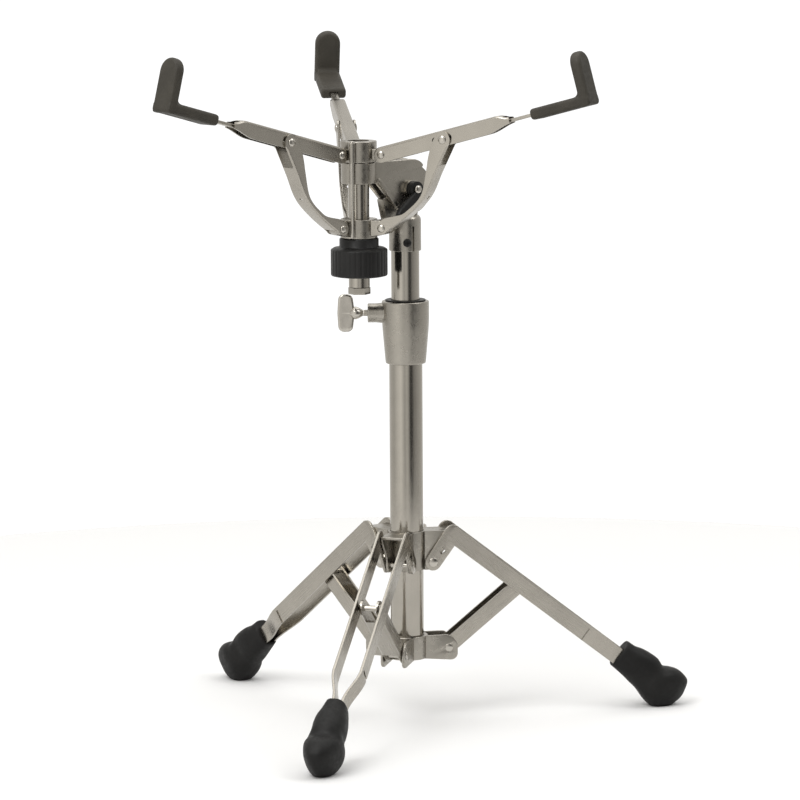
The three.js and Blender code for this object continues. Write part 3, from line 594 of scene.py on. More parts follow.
def build_column():
    here = at(COLUMN)
    main = finished(tube(MAIN_BORE_R, MAIN_R, MAIN_BOTTOM, MAIN_TOP))
    piece("main_tube", main, here, "column", "tube")
    upper = finished(tube(UPPER_BORE_R, UPPER_R, UPPER_BOTTOM, UPPER_TOP))
    piece("upper_tube", upper, here, "upper", "tube")

    shell = [(MAIN_R + GAP, COLLAR_BOTTOM), (COLLAR_BOTTOM_R, COLLAR_BOTTOM, 1.2),
             (COLLAR_BOTTOM_R + 0.4, COLLAR_BOTTOM + 4, 3), (COLLAR_TOP_R, COLLAR_TOP - 20, 8),
             (COLLAR_TOP_R, COLLAR_TOP, 1.1), (COLLAR_BORE_R, COLLAR_TOP, 0.5),
             (COLLAR_BORE_R, MAIN_TOP + GAP), (MAIN_R + GAP, MAIN_TOP + GAP)]
    body = lathe(soften(shell, 0.3), closed=True)
    boss_profile = [(0, 14), (9.4, 14), (9.2, 21), (8.6, 26), (8.6, HEIGHT_BOSS_END, 1),
                    (0, HEIGHT_BOSS_END)]
    boss = moved(turned(lathe(soften(boss_profile, 1.5, closed=False), 64), -90, "Y"), z=HEIGHT_BOLT_Z)
    bore = moved(outward(BOLT_R + GAP, 0, 40, 180), z=HEIGHT_BOLT_Z)
    inside = disc(COLLAR_BORE_R, MAIN_TOP + GAP, COLLAR_TOP + 3)
    collar = cut(join(body, boss), bore, inside)
    piece("height_collar", finished(collar), here, "column", "cast")

    rim = COLLAR_TOP + GAP
    bush = [(UPPER_R + GAP, MAIN_TOP + 1), (BUSH_R, MAIN_TOP + 1), (BUSH_R, rim), (18.2, rim),
            (18.2, rim + 0.9), (UPPER_R + 1.0, rim + 0.9), (UPPER_R + GAP, rim + 0.6)]
    slit = block((14, 24), (-0.8, 0.8), (rim - 12, rim + 3))
    split = cut(lathe(soften(bush, 0.3), closed=True), turned(slit, 40))
    piece("collar_bush", finished(split), here, "bush", "nylon")

    bolt = finished(wing_bolt(BUSH_R + GAP, HEIGHT_BOSS_END, *HEIGHT_WINGS))
    piece("height_wing_bolt", bolt, at(COLUMN, 180, (0, HEIGHT_BOLT_Z)), "height_wing", "bright")


# ---------- tilter ----------


def build_tilter():
    here = at(COLUMN, POST_AZIMUTH)
    cup_profile = [(0, UPPER_TOP + GAP), (UPPER_R + GAP, UPPER_TOP + GAP), (UPPER_R + GAP, CUP_BOTTOM),
                   (CUP_R, CUP_BOTTOM), (CUP_R, CUP_TOP - 3, 3), (CUP_R - 3, CUP_TOP, 2), (0, CUP_TOP)]
    cup = lathe(soften(cup_profile, 0.5, closed=False))
    tongue = plate(bar((0, CUP_TOP - 4), (0, TILT_Z), 10, TONGUE_R), -TONGUE_HALF, TONGUE_HALF, 0.6)
    under = disc(CUP_R + 6, CUP_BOTTOM - 20, CUP_TOP - 6)
    support = soften([(8, 447.4), (19.9, 447.4, 2), (24.5, 458, 4), (28.4, 475.4, 1.5), (12, 481.8)], 1)
    support = plate(support, -TONGUE_HALF + 0.03, TONGUE_HALF - 0.03, 0.6)
    faces = disc(15.5, -TONGUE_HALF - 0.1, TONGUE_HALF + 0.1, 0.1)
    faces = moved(turned(faces, 90, "X"), z=TILT_Z)
    slit = block((CUP_R - 4, CUP_R + 3), (-0.9, 0.9), (CUP_BOTTOM - 1, CUP_TOP - 10))
    bolt_hole = cross((0, TILT_Z), TILT_BOLT_R + GAP, -30, 30)
    screw_hole = outward(2 + GAP, 12, 30, CUP_SCREW_AZIMUTH, CUP_SCREW_Z)
    base = join(cup, cut(tongue, under), support, faces)
    base = cut(base, turned(slit, CUP_SLIT_AZIMUTH), bolt_hole, screw_hole)
    piece("tilter_base", finished(base), here, "upper", "cast")

    head = soften([(0, UPPER_R + 0.6), (2, UPPER_R + 0.6), (2, CUP_R + GAP), (3.7, CUP_R + GAP),
                   (3.7, 16.3, 1.4), (2.6, 17.4, 1), (0, 17.4)], 0.15, closed=False)
    screw = lathe(head, 40)
    recess = [block((-2.1, 2.1), (-0.45, 0.45), (16.5, 19)), block((-0.45, 0.45), (-2.1, 2.1), (16.5, 19))]
    screw = turned(turned(cut(screw, *recess), 90, "Y"), CUP_SCREW_AZIMUTH)
    piece("tilter_base_screw", finished(moved(screw, z=CUP_SCREW_Z)), here, "upper", "nylon")

    crest = [(20, BRACKET_TOP), (-6, BRACKET_TOP, 6), (-13, BRACKET_TOP - 3.6, 3), (-18, TILT_Z + 14)]
    cheek = [(POST_DISTANCE - 4, BRACKET_TOP)] + soften(crest, 3, closed=False)[:-1]
    cheek += arc(0, TILT_Z, CHEEK_R, 125, 320, 40)
    cheek += [(POST_DISTANCE - BRACKET_R + 2, BRACKET_BOTTOM), (POST_DISTANCE - 4, BRACKET_BOTTOM)]
    hole = circle(0, TILT_Z, TILT_BOLT_R + GAP)
    cheeks = pair(cheek, TONGUE_HALF + GAP, CHEEK_OUT, 0.8, [hole])
    web = block((30, POST_DISTANCE - 4), (-CHEEK_OUT + 0.05, CHEEK_OUT - 0.05),
                (BRACKET_BOTTOM + 0.05, BRACKET_TOP - 0.05), 0.6)
    ring = moved(disc(BRACKET_R, BRACKET_BOTTOM, BRACKET_TOP, 0.9), POST_DISTANCE)
    post_hole = moved(through_hole(POST_R + GAP, BRACKET_BOTTOM, BRACKET_TOP), POST_DISTANCE)
    nut = plate(circle(0, TILT_Z, 7.5, 6), -CHEEK_OUT - 5, -CHEEK_OUT + 1, 0.7)
    low_edge = bar((16, TILT_Z - 13), (POST_DISTANCE - BRACKET_R, BRACKET_BOTTOM + 1.5), 2.2)
    rims = pair(low_edge, CHEEK_OUT - 1, CHEEK_OUT + 1.1, 0.7)
    nut_hole = cross((0, TILT_Z), TILT_BOLT_R + GAP, -30, 0)
    bracket = cut(join(cheeks, web, ring, nut, rims), post_hole, nut_hole)
    piece("tilter_bracket", finished(bracket), here, "basket", "cast")

    # The wing bolt's black lever is a moulding on a bright bolt.
    outline = [(-11.2, 477.4, 2), (-9.4, 484.6, 1.2), (-5.2, 483.2, 1.2), (-4.0, 488.0, 1.4), (0.0, 484.6, 2),
               (20.2, 467.6, 2), (23.4, 462.4, 2), (20.6, 457.4, 2), (14.4, 457.0, 2)]
    outline = soften(outline, 2, 6)
    lever = plate(outline, CHEEK_OUT + LEVER_IN, CHEEK_OUT + LEVER_OUT, 2.2)
    hub = cross((0, TILT_Z), 7.0, CHEEK_OUT + 3.6, CHEEK_OUT + 9)
    lever = cut(join(lever, hub), cross((0, TILT_Z), TILT_BOLT_R + 0.05, 0, 40))
    piece("tilter_wing_lever", finished(lever), here, "tilter_wing", "nylon", "tilter_wing_bolt")
    bolt = rivet((0, TILT_Z), TILT_BOLT_R, CHEEK_OUT + LEVER_OUT + 0.6, 3.7, CHEEK_OUT + LEVER_OUT - 1)
    washer = cross((0, TILT_Z), 8, CHEEK_OUT + GAP, CHEEK_OUT + 3.3)
    near_only = block((-20, 20), (-CHEEK_OUT - 4, 40), (TILT_Z - 20, TILT_Z + 20))
    bolt = keep(join(bolt, washer), near_only)
    piece("tilter_wing_shank", finished(bolt), here, "tilter_wing", "bright", "tilter_wing_bolt")


# ---------- basket ----------


def eared(base, outline, half, hole, hole_r):
    """Adds an ear for each arm, with a pivot hole."""
    ears = []
    for azimuth in ARMS.values():
        ear = plate(outline, -half, half, 0.7, [circle(*hole, hole_r)])
        ears.append(turned(ear, azimuth))
    return join(base, *ears)


def build_post():
    here = at(POST)
    smooth_from = NUT_NECK_TOP + 2

    def thread(turn, height):
        if height > smooth_from or height < NUT_BOTTOM - 0.6:
            return 0.0
        phase = (height / THREAD_PITCH - turn / (2 * math.pi)) % 1.0
        return -THREAD_DEPTH * abs(2 * phase - 1)

    count = int((smooth_from - POST_BOTTOM) / THREAD_STEP) + 3
    rises = [POST_BOTTOM + THREAD_STEP * i for i in range(count)]
    lip = [(POST_R, rises[-1]), (POST_R, POST_TOP), (POST_BORE_R, POST_TOP)]
    profile = [(POST_R, z) for z in rises] + soften(lip, 0.5, closed=False)[1:]
    profile += [(POST_BORE_R, POST_BOTTOM)]
    post = lathe(profile, 72, closed=True, ripple=thread)
    piece("basket_post", finished(post), here, "basket", "tube")

    hexagon = plate(circle(0, 0, END_NUT_R, 6), END_NUT_BOTTOM, POST_BOTTOM - GAP, 0.6)
    hexagon = turned(hexagon, 90, "X")
    plug = join(hexagon, disc(POST_BORE_R - GAP, 397, 405, sides=64))
    piece("post_end_nut", finished(plug), here, "basket", "tube")

    ear = soften([(HUB_R - 4, 513), (25, 513), (29, 516), (29.6, 519), (27, 522.6), (HUB_R - 4, 522.6)], 1.6)
    tongue = ARM_OUT - ARM_WALL - GAP
    lug = moved(disc(3.3, HUB_BOTTOM + 0.1, HUB_TOP - 0.1, 0.6, 40), HIGHLIGHT_ROD_SIDE, -HIGHLIGHT_ROD_OUT + 1)
    hub = join(disc(HUB_R, HUB_BOTTOM, HUB_TOP, 0.9), lug)
    hub = eared(hub, ear, tongue, ARM_PIVOT, ARM_PIN_R + GAP)
    post_hole = through_hole(POST_R + GAP, HUB_BOTTOM, HUB_TOP)
    rod_hole = moved(through_hole(HIGHLIGHT_ROD_R + GAP, HUB_BOTTOM, HUB_TOP, 32), HIGHLIGHT_ROD_SIDE, -HIGHLIGHT_ROD_OUT)
    piece("top_hub", finished(cut(hub, post_hole, rod_hole)), here, "basket", "cast")

    # Painted highlight: this bright rod stands in for a streak of reflected light down the front of the hub,
    # post and slider. The hub's hole and the slider's groove make room for it.
    rod = [(0, SLIDER_BOTTOM + 1), (HIGHLIGHT_ROD_R, SLIDER_BOTTOM + 1, 0.8), (HIGHLIGHT_ROD_R, HUB_TOP + 1, 0.8),
           (0, HUB_TOP + 1)]
    made = moved(lathe(soften(rod, 0.3, closed=False), 40), HIGHLIGHT_ROD_SIDE, -HIGHLIGHT_ROD_OUT)
    piece("guide_rod", finished(made), here, "slider", "bright")


def build_slider():
    here = at(POST)
    x, z = LINK_FOOT
    ear = soften([(SLIDER_R - 5, SLIDER_BOTTOM + 1), (x + 1, z - 6), (x + 5, z - 3), (x + 5.6, z + 1),
                  (x + 3, z + 5), (x - 3, SLIDER_TOP - 0.5), (SLIDER_R - 5, SLIDER_TOP - 0.5)], 1.6)
    half = LINK_OUT - LINK_WALL - GAP
    body = disc(SLIDER_R, SLIDER_BOTTOM, SLIDER_TOP, 0.8)
    base = eared(body, ear, half, LINK_FOOT, LINK_PIN_R + GAP)
    hole = through_hole(POST_R + GAP, SLIDER_BOTTOM, SLIDER_TOP)
    groove = moved(through_hole(HIGHLIGHT_ROD_R + 0.6, SLIDER_BOTTOM, SLIDER_TOP, 32), HIGHLIGHT_ROD_SIDE, -HIGHLIGHT_ROD_OUT)
    piece("basket_slider", finished(cut(base, hole, groove)), here, "slider", "cast")

    def knurl(turn, height):
        inside = eased((height - NUT_BOTTOM - 0.8) / 2) * eased((NUT_TOP - 1.6 - height) / 2)
        wave = 0.5 - 0.5 * math.cos(turn * NUT_RIBS)
        return -NUT_RIB_DEPTH * inside * wave ** 3

    walls = [NUT_BOTTOM + 2.0 + i * 1.2 for i in range(19)]
    profile = [(POST_R + GAP, NUT_BOTTOM), (NUT_R - 3.5, NUT_BOTTOM), (NUT_R - 0.6, NUT_BOTTOM + 0.7),
               (NUT_R, NUT_BOTTOM + 1.6)]
    profile += [(NUT_R, z) for z in walls]
    profile += [(NUT_R - 0.5, NUT_TOP - 1.9), (NUT_R - 2.6, NUT_TOP - 0.6), (NUT_NECK_R + 0.8, NUT_TOP),
                (NUT_NECK_R, NUT_TOP + 0.8), (NUT_NECK_R, NUT_NECK_TOP - 0.8),
                (NUT_NECK_R - 0.6, NUT_NECK_TOP), (POST_R + GAP, NUT_NECK_TOP)]
    nut = lathe(profile, 12 * NUT_RIBS, closed=True, ripple=knurl)
    piece("basket_nut", finished(nut, 50), here, "nut", "nylon")


def channel(stations, half_width, top_side):
    """A solid bar whose height changes along X. One side's long edges are rounded, where a sheet folds."""
    sections = []
    for x, low, high in stations:
        size = min(FOLD_R, (high - low) * 0.45)
        below, above = (SHARP, size) if top_side else (size, SHARP)
        loop = [(-half_width, low, below), (half_width, low, below), (half_width, high, above),
                (-half_width, high, above)]
        sections.append([(x, y, z) for y, z in soften(loop, 0.1, 6)])
    return loft(sections)


def round_end(radius, steps=10):
    """Stations that round a bar's root, from its tip inward, as (distance inward, half height)."""
    turns = [math.radians(4 + 86 * i / steps) for i in range(steps + 1)]
    return [(radius * (1 - math.cos(turn)), radius * math.sin(turn)) for turn in turns]


def build_arms():
    inner = ARM_OUT - ARM_WALL
    stations = [(-ARM_HALF + x, -y, y) for x, y in round_end(ARM_HALF)]
    for i in range(1, 41):
        x = ARM_LENGTH * i / 40
        low = -ARM_HALF + 4.8 * eased((x - ARM_LENGTH + 24) / 26)
        high = ARM_HALF - 3.8 * eased((x - ARM_LENGTH + 12) / 12)
        stations.append((x, low, high))
    outer = channel(stations, ARM_OUT, True)
    room = rectangle(-20, ARM_LENGTH + 5, -ARM_HALF - 5, ARM_HALF - ARM_WALL, 0.01)
    hollow = plate(room, -inner, inner, 0.8)
    root = [(-20, 0), (7.5, 0), (9.5, ARM_HALF + 5), (-20, ARM_HALF + 5)]
    root = plate(soften(root, 0.01), -inner, inner, 0.3)
    x, z = ARM_LINK_AT
    slot = plate(bar((x - 7.5, z + 0.6), (x + 5.5, z + 0.6), 3.2), -20, 20, 0.01)
    arm = finished(cut(outer, hollow, root, pivot_hole((0, 0), ARM_PIN_R), slot))

    strip = rectangle(NECK_FROM, NECK_TO, -NECK_THICK, NECK_THICK, 0.7)
    neck = finished(plate(strip, -NECK_WIDE, NECK_WIDE, 0.7))

    half = GRIP_THICK / 2
    foot = plate(rectangle(GRIP_FROM, GRIP_TO, -GRIP_HALF, GRIP_HALF, 2.4), -half, half, 3.0)
    foot = turned(foot, 90, "X")
    tab = [(-GRIP_HALF, -half), (GRIP_HALF, -half)]
    tab += arc(0, GRIP_HEIGHT - GRIP_HALF, GRIP_HALF, 0, 180, 32)
    tab = moved(turned(plate(tab, -half, half, 3.0), 90), GRIP_TO - half)
    fillet_r, inside = 5.0, GRIP_TO - GRIP_THICK
    web = [(inside + 0.5, half - 0.5), (inside + 0.5, half + fillet_r)]
    web += arc(inside - fillet_r, half + fillet_r, fillet_r, 0, -90, 12)[1:]
    web += [(inside - fillet_r, half - 0.5)]
    sleeve = join(foot, tab, plate(web, -GRIP_HALF + 2.4, GRIP_HALF - 2.4, 0.05))
    sleeve = moulded(sleeve, 0.55, 5)
    pocket = block((GRIP_FROM - 3, NECK_TO + GAP), (-NECK_WIDE - GAP, NECK_WIDE + GAP),
                   (-NECK_THICK - GAP, NECK_THICK + GAP))
    grip = finished(cut(sleeve, pocket), 60)

    pin = finished(rivet(ARM_PIVOT, ARM_PIN_R, ARM_OUT + 1.7, PIN_HEAD["arm"], ARM_OUT + 0.15))
    for side, azimuth in ARMS.items():
        body = side + "_arm"
        along = at(POST, azimuth, ARM_PIVOT, ARM_SLOPE)
        piece(side + "_arm", arm, along, body, "strip")
        piece(side + "_arm_neck", neck, along, body, "strip")
        piece(side + "_grip", grip, along, body, "grip")
        piece(side + "_arm_pin", pin, at(POST, azimuth), "basket", "bright")


def moulded(obj, voxel, passes):
    """Softens a solid's creases as moulding does."""
    remesh = obj.modifiers.new("remesh", "REMESH")
    remesh.mode = "VOXEL"
    remesh.voxel_size = voxel
    smooth = obj.modifiers.new("smooth", "SMOOTH")
    smooth.factor = 0.5
    smooth.iterations = passes
    return remade(obj)


def section_at(place, heading, loop):
    """A section of the link: a loop in Y and across the spine, put at a place on the spine."""
    across = Vector((-heading.y, heading.x))
    spots = [(place + across * up, side) for side, up in soften(loop, 0.1, 6)]
    return [(spot.x, side, spot.y) for spot, side in spots]


def build_links():
    foot, top = LINK_FOOT, on_line(ARM_PIVOT, ARM_SLOPE, *ARM_LINK_AT)
    x, z = foot
    spine = smooth_curve([foot, (x + 20, z + 15), (x + 37, z + 32), (top[0] - 13, top[1] - 27), top], 36)
    foot_r, top_r = 5.8, 7.4
    inner = LINK_OUT - LINK_WALL
    last = len(spine) - 1
    skin, hollow = [], []
    for i, (place, heading) in enumerate(spine):
        u = i / last
        width = foot_r + (top_r - foot_r) * u
        rim = between([(reach,) for reach in LINK_RIM], u * (len(LINK_RIM) - 1))[0]
        loop = [(-LINK_OUT, -width, 2.2), (LINK_OUT, -width, 2.2), (LINK_OUT, rim, SHARP),
                (-LINK_OUT, rim, SHARP)]
        skin.append(section_at(place, heading, loop))
        loop = [(-inner, LINK_WALL - width, 0.9), (inner, LINK_WALL - width, 0.9), (inner, 20, SHARP),
                (-inner, 20, SHARP)]
        past_end = {0: -0.6, last: 0.6}.get(i, 0.0)
        hollow.append(section_at(place + heading * past_end, heading, loop))
    eyes = [cross(foot, foot_r, -LINK_OUT + 0.04, LINK_OUT - 0.04, 64),
            cross(top, top_r, -LINK_OUT + 0.04, LINK_OUT - 0.04, 64)]
    outer = join(loft(skin), *eyes)
    foot_room = block((x - 20, x + 9), (-inner, inner), (z - 20, z + 9))
    top_room = block((top[0] - 40, top[0] + 20), (-inner, inner), (top[1] - 23, top[1] + 20))
    middle, heading = spine[int(last * 0.52)]
    vent = turned(disc(1.9, -14, 14, 0.01, 32), math.degrees(math.atan2(-heading.y, heading.x)), "Y")
    holes = [pivot_hole(spot, LINK_PIN_R) for spot in (foot, top)]
    vent = moved(vent, middle.x, 0, middle.y)
    link = finished(cut(outer, loft(hollow), foot_room, top_room, *holes, vent))
    half, seat = LINK_OUT + 1.7, LINK_OUT + 0.15
    foot_pin = finished(rivet(foot, LINK_PIN_R, half, PIN_HEAD["link_foot"], seat))
    top_pin = finished(rivet(top, LINK_PIN_R, half, PIN_HEAD["link_top"], seat))
    for side, azimuth in ARMS.items():
        here = at(POST, azimuth)
        piece(side + "_link", link, here, side + "_link", "strip")
        piece(side + "_link_foot_pin", foot_pin, here, "slider", "bright")
        piece(side + "_link_top_pin", top_pin, here, side + "_link", "bright")


# ---------- tripod ----------


def build_leg_collar():
    here = at(COLUMN)
    base = disc(LEG_COLLAR_R, LEG_COLLAR_BOTTOM, LEG_COLLAR_TOP, 0.8)
    gusset = soften([(14, LEG_COLLAR_BOTTOM), (26, LEG_COLLAR_BOTTOM, 3), (29, LEG_PIVOT[1], 2),
                     (29.5, 152, 3), (42, 168, 2.5), (42.5, LEG_COLLAR_TOP, 1.2),
                     (14, LEG_COLLAR_TOP)], 0.5)
    out = STRIP_IN - GAP
    brackets = []
    for azimuth in LEGS.values():
        cheeks = pair(gusset, out - 2.2, out, 0.5, [circle(*LEG_PIVOT, LEG_PIN_R + GAP)])
        roof = block((14, 42.4), (-out + 0.1, out - 0.1), (LEG_COLLAR_TOP - 2.3, LEG_COLLAR_TOP - 0.05), 0.4)
        brackets.append(turned(join(cheeks, roof), azimuth))
    boss_profile = [(0, 12), (8.4, 12), (7.6, 20), (7.6, LEG_BOSS_END, 1), (0, LEG_BOSS_END)]
    boss = turned(lathe(soften(boss_profile, 1.2, closed=False), 64), 90, "Y")
    boss = turned(boss, LEG_BOSS_AZIMUTH)
    hole = through_hole(RING_BORE_R, LEG_COLLAR_BOTTOM, LEG_COLLAR_TOP)
    bore = outward(BOLT_R + GAP, 0, 40, LEG_BOSS_AZIMUTH, LEG_BOLT_Z)
    collar = cut(join(base, moved(boss, z=LEG_BOLT_Z), *brackets), hole, bore)
    piece("leg_collar", finished(collar), here, "leg_collar", "cast")
    bolt = finished(wing_bolt(MAIN_R + 0.5, LEG_BOSS_END, *LEG_WINGS))
    place = at(COLUMN, LEG_BOSS_AZIMUTH, (0, LEG_BOLT_Z))
    piece("leg_collar_wing_bolt", bolt, place, "leg_wing", "bright")


def build_lower_bracket():
    here = at(COLUMN)
    ear = soften([(12, LOWER_BOTTOM), (LOWER_EAR_END - 4, LOWER_BOTTOM - 2.5, 3),
                  (LOWER_EAR_END, LOWER_BOTTOM + 1, 3), (LOWER_EAR_END, LOWER_TOP - 8, 4),
                  (LOWER_EAR_END - 7, LOWER_TOP, 4), (12, LOWER_TOP)], 1)
    hole = circle(*BRACE_FOOT, LEG_PIN_R + GAP)
    ears = [turned(pair(ear, BRACE_OUT + GAP, LOWER_EAR_OUT, 0.5, [hole]), azimuth)
            for azimuth in LEGS.values()]
    base = disc(LOWER_R, LOWER_BOTTOM, LOWER_TOP, 1.0)
    seat = disc(RING_BORE_R, MAIN_BOTTOM - GAP, LOWER_TOP + 5)
    drain = disc(MAIN_BORE_R - 1, LOWER_BOTTOM - 5, MAIN_BOTTOM + 1)
    made = cut(join(base, *ears), seat, drain)
    piece("lower_bracket", finished(made), here, "column", "cast")


def to_leg(point):
    """A point of the upright plane in the leg's own frame."""
    return on_line((0, 0), -LEG_SLOPE, point[0] - KNEE[0], point[1] - KNEE[1])


def leg_strip():
    """One leg strip in the leg's own frame: flat beside its twin, then bent in to meet it."""
    pivot = to_leg(LEG_PIVOT)
    straight = plate(rectangle(-2, STRIP_TO, -LEG_HALF, LEG_HALF, 0.6), 0, STRIP_THICK, 0.5)
    knee = plate(bar(pivot, (0, 0), 7.5, LEG_HALF), 0, STRIP_THICK, 0.5)
    size = (-STRIP_HOLE_HALF, STRIP_HOLE_HALF)
    square = turned(block(size, (-5, 10), size, 0.5), STRIP_HOLE_TURN, "Y")
    mark = to_leg(STRIP_HOLE_AT)
    groove = (GROOVE_FROM, GROOVE_TO), (STRIP_THICK - GROOVE_DEPTH, 10), (-LEG_HALF - 1, 4.6)
    groove = block(*groove, 0.3)
    hole = cross(pivot, LEG_PIN_R + GAP, -5, 10)
    made = cut(join(straight, knee), hole, moved(square, mark[0], 0, mark[1]), groove)
    work = bmesh.new()
    work.from_mesh(made.data)
    for i in range(28):
        geometry = work.verts[:] + work.edges[:] + work.faces[:]
        place = (BEND_FROM - 6 + 1.5 * i, 0, 0)
        bmesh.ops.bisect_plane(work, geom=geometry, plane_co=place, plane_no=(1, 0, 0))
    for vertex in work.verts:
        bend = eased((vertex.co.x - BEND_FROM + 3) / (BEND_TO - BEND_FROM + 6))
        vertex.co.y += STRIP_IN + (STRIP_END_IN - STRIP_IN) * bend
    work.to_mesh(made.data)
    work.free()
    return made


def squircle(along, low, high, half, steps=72):
    """A section of the boot across the leg."""
    power = 2 / BOOT_SQUARENESS
    section = []
    for i in range(steps):
        turn = 2 * math.pi * i / steps
        cosine, sine = math.cos(turn), math.sin(turn)
        across = math.copysign(abs(cosine) ** power, cosine)
        up = math.copysign(abs(sine) ** power, sine)
        section.append((along, half * across, (low + high) / 2 + (high - low) / 2 * up))
    return section


def boot():
    """The rubber foot in the leg's own frame: a sleeve, a waist and a round toe."""
    steps = 6 * (len(BOOT_SECTIONS) - 1)
    rows = [between(BOOT_SECTIONS, i / 6) for i in range(steps + 1)]
    tip = rows[-1]
    middle = (tip[1] + tip[2]) / 2
    rows.append([tip[0] + 0.5, middle - 1.5, middle + 1.5, 0.8])
    made = loft([squircle(*row) for row in rows])
    made = moulded(made, 0.8, 4)
    room = STRIP_END_IN + STRIP_THICK + GAP
    pocket = block((BOOT_POCKET_FROM, STRIP_TO + GAP), (-room, room), (-LEG_HALF - GAP, LEG_HALF + GAP))
    made = cut(made, pocket)
    floor = block((100, 400), (-40, 40), (-60, 0))
    floor.data.transform(Matrix.Translation((-KNEE[0], 0, -KNEE[1])))
    floor.data.transform(Matrix.Rotation(math.radians(LEG_SLOPE), 4, "Y"))
    return cut(made, floor)


def build_legs():
    strip = leg_strip()
    twin = mirrored(strip)
    strip, twin = finished(strip), finished(twin)
    foot = finished(boot(), 60)
    side_face = STRIP_IN + STRIP_THICK
    pin = finished(rivet(LEG_PIVOT, LEG_PIN_R, side_face + 0.9, PIN_HEAD["leg"], side_face + 0.1))

    top = on_line(KNEE, LEG_SLOPE, BRACE_TOP_S, 0)
    length = math.dist(top, BRACE_FOOT)
    slope = math.degrees(math.atan2(top[1] - BRACE_FOOT[1], top[0] - BRACE_FOOT[0]))
    root = [(-BRACE_R + x, -y, y) for x, y in round_end(BRACE_R)]
    tip = [(length + BRACE_R - x, -y, y) for x, y in reversed(round_end(BRACE_R))]
    outer = channel(root + tip, BRACE_OUT, False)
    inner = BRACE_OUT - BRACE_WALL
    hollow = plate(rectangle(-20, length + 20, BRACE_WALL - BRACE_R, 20, 0.01), -inner, inner, 0.8)
    foot_room = block((-20, 12), (-inner, inner), (-20, 20))
    top_room = block((length - 13, length + 20), (-inner, inner), (-20, 20))
    holes = [pivot_hole((spot, 0), LEG_PIN_R) for spot in (0, length)]
    brace = finished(cut(outer, hollow, foot_room, top_room, *holes))
    seat = LOWER_EAR_OUT + 0.1
    foot_pin = finished(rivet(BRACE_FOOT, LEG_PIN_R, seat + 0.8, PIN_HEAD["brace_foot"], seat))
    top_pin = finished(rivet(top, LEG_PIN_R, STRIP_IN - GAP, PIN_HEAD["brace_top"], BRACE_OUT + 0.15))

    for side, azimuth in LEGS.items():
        here = at(COLUMN, azimuth)
        along = at(COLUMN, azimuth, KNEE, LEG_SLOPE)
        braced = at(COLUMN, azimuth, BRACE_FOOT, slope)
        piece(side + "_leg_strip_a", strip, along, side + "_leg", "strip")
        piece(side + "_leg_strip_b", twin, along, side + "_leg", "strip")
        piece(side + "_foot", foot, along, side + "_leg", "boot")
        piece(side + "_leg_pin", pin, here, "leg_collar", "bright")
        piece(side + "_brace", brace, braced, side + "_brace", "strip")
        piece(side + "_brace_foot_pin", foot_pin, here, "column", "bright")
        piece(side + "_brace_top_pin", top_pin, here, side + "_brace", "bright")


build_column()
build_tilter()
build_post()
build_slider()
build_arms()
build_links()
build_leg_collar()
build_lower_bracket()
build_legs()

# ---------- studio ----------


def build_camera():
    data = bpy.data.cameras.new("camera")
    data.sensor_width = SENSOR
    data.lens = LENS
    data.clip_end = FAR_CLIP
    camera = bpy.data.objects.new("camera", data)
    bpy.context.scene.collection.objects.link(camera)
    look = Matrix.Rotation(math.pi / 2 - CAMERA_PITCH, 4, "X") @ Matrix.Rotation(-CAMERA_ROLL, 4, "Z")
    spot = (COLUMN[0] * MM + CAMERA_SIDE, COLUMN[1] * MM + CAMERA_BACK, CAMERA_HEIGHT)
    camera.matrix_world = Matrix.Translation(spot) @ look
    bpy.context.scene.camera = camera


def build_floor():
    rim = [(x, y, 0) for x, y in circle(0, 0, FLOOR_R, FLOOR_SIDES)]
    mesh = bpy.data.meshes.new("floor")
    mesh.from_pydata(rim, [], [tuple(range(FLOOR_SIDES))])
    floor = bpy.data.objects.new("floor", mesh)
    bpy.context.scene.collection.objects.link(floor)
    material = bpy.data.materials.new("floor")
    material.use_nodes = True
    surface = material.node_tree.nodes["Principled BSDF"]
    surface.inputs["Base Color"].default_value = FLOOR_COLOUR
    surface.inputs["Roughness"].default_value = 0.9
    surface.inputs["Specular IOR Level"].default_value = 0.1
    mesh.materials.append(material)


def area_light(name, place, target, size, power):
    data = bpy.data.lights.new(name, "AREA")
    data.shape = "RECTANGLE"
    data.size, data.size_y = size
    data.energy = power
    light = bpy.data.objects.new(name, data)
    bpy.context.scene.collection.objects.link(light)
    light.location = place
    light.rotation_euler = (Vector(target) - Vector(place)).to_track_quat("-Z", "Y").to_euler()


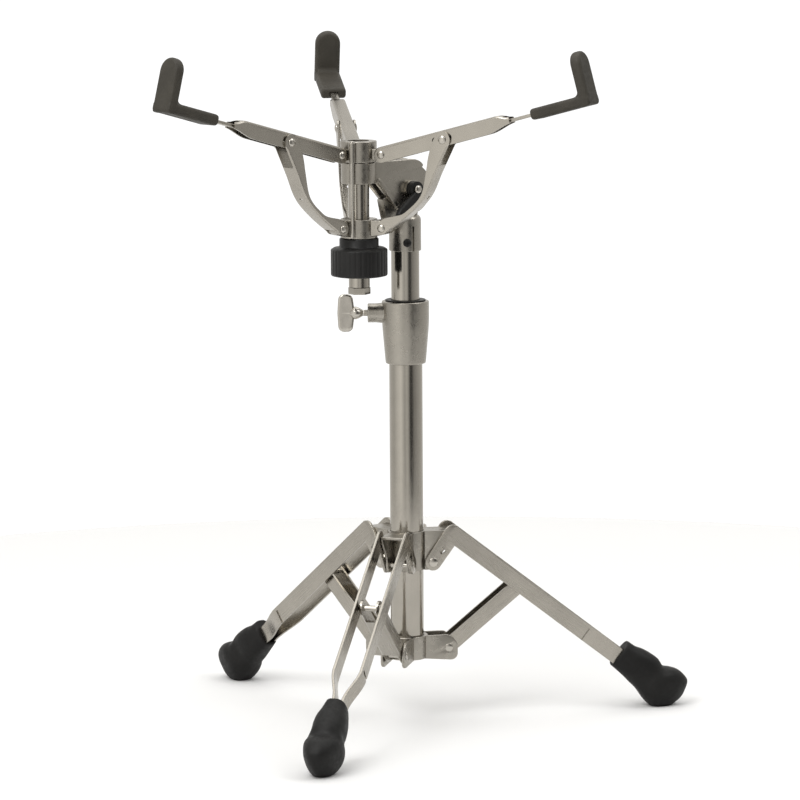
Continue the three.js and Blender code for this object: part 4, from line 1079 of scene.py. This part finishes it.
def build_world():
    """A studio whose walls are pale to the left of the camera and dark in one strip to its right."""
    world = bpy.data.worlds.new("studio")
    bpy.context.scene.world = world
    world.use_nodes = True
    tree = world.node_tree
    background = tree.nodes["Background"]
    coordinates = tree.nodes.new("ShaderNodeTexCoord")
    split = tree.nodes.new("ShaderNodeSeparateXYZ")
    tree.links.new(coordinates.outputs["Generated"], split.inputs["Vector"])
    turn = tree.nodes.new("ShaderNodeMath")
    turn.operation = "ARCTAN2"
    tree.links.new(split.outputs["Y"], turn.inputs[0])
    tree.links.new(split.outputs["X"], turn.inputs[1])
    share = tree.nodes.new("ShaderNodeMapRange")
    share.inputs["From Min"].default_value = -math.pi
    share.inputs["From Max"].default_value = math.pi
    tree.links.new(turn.outputs["Value"], share.inputs["Value"])
    ramp = tree.nodes.new("ShaderNodeValToRGB")
    elements = ramp.color_ramp.elements
    while len(elements) < len(WALLS):
        elements.new(0.5)
    for element, (heading, level) in zip(elements, WALLS):
        element.position = (heading + 180) / 360
        element.color = (level, level * 0.985, level * 0.955, 1)
    tree.links.new(share.outputs["Result"], ramp.inputs["Fac"])
    tree.links.new(ramp.outputs["Color"], background.inputs["Color"])
    background.inputs["Strength"].default_value = WALL_STRENGTH
    # The studio's far wall is plain white wherever it is seen directly.
    plain = tree.nodes.new("ShaderNodeBackground")
    plain.inputs["Color"].default_value = (1, 1, 1, 1)
    plain.inputs["Strength"].default_value = PLAIN_STRENGTH
    path = tree.nodes.new("ShaderNodeLightPath")
    either = tree.nodes.new("ShaderNodeMixShader")
    tree.links.new(path.outputs["Is Camera Ray"], either.inputs[0])
    tree.links.new(background.outputs["Background"], either.inputs[1])
    tree.links.new(plain.outputs["Background"], either.inputs[2])
    tree.links.new(either.outputs["Shader"], tree.nodes["World Output"].inputs["Surface"])


build_camera()
build_floor()
build_world()
area_light("key", (-1.2, -1.6, 2.6), (0, 0, 0.3), (1.6, 1.6), 45)
area_light("fill", (1.8, -0.6, 2.2), (0, 0, 0.3), (1.4, 1.4), 18)
area_light("top", (0, 0.4, 3.0), (0, 0, 0), (3.0, 3.0), 40)
bpy.context.scene.view_settings.view_transform = "Standard"
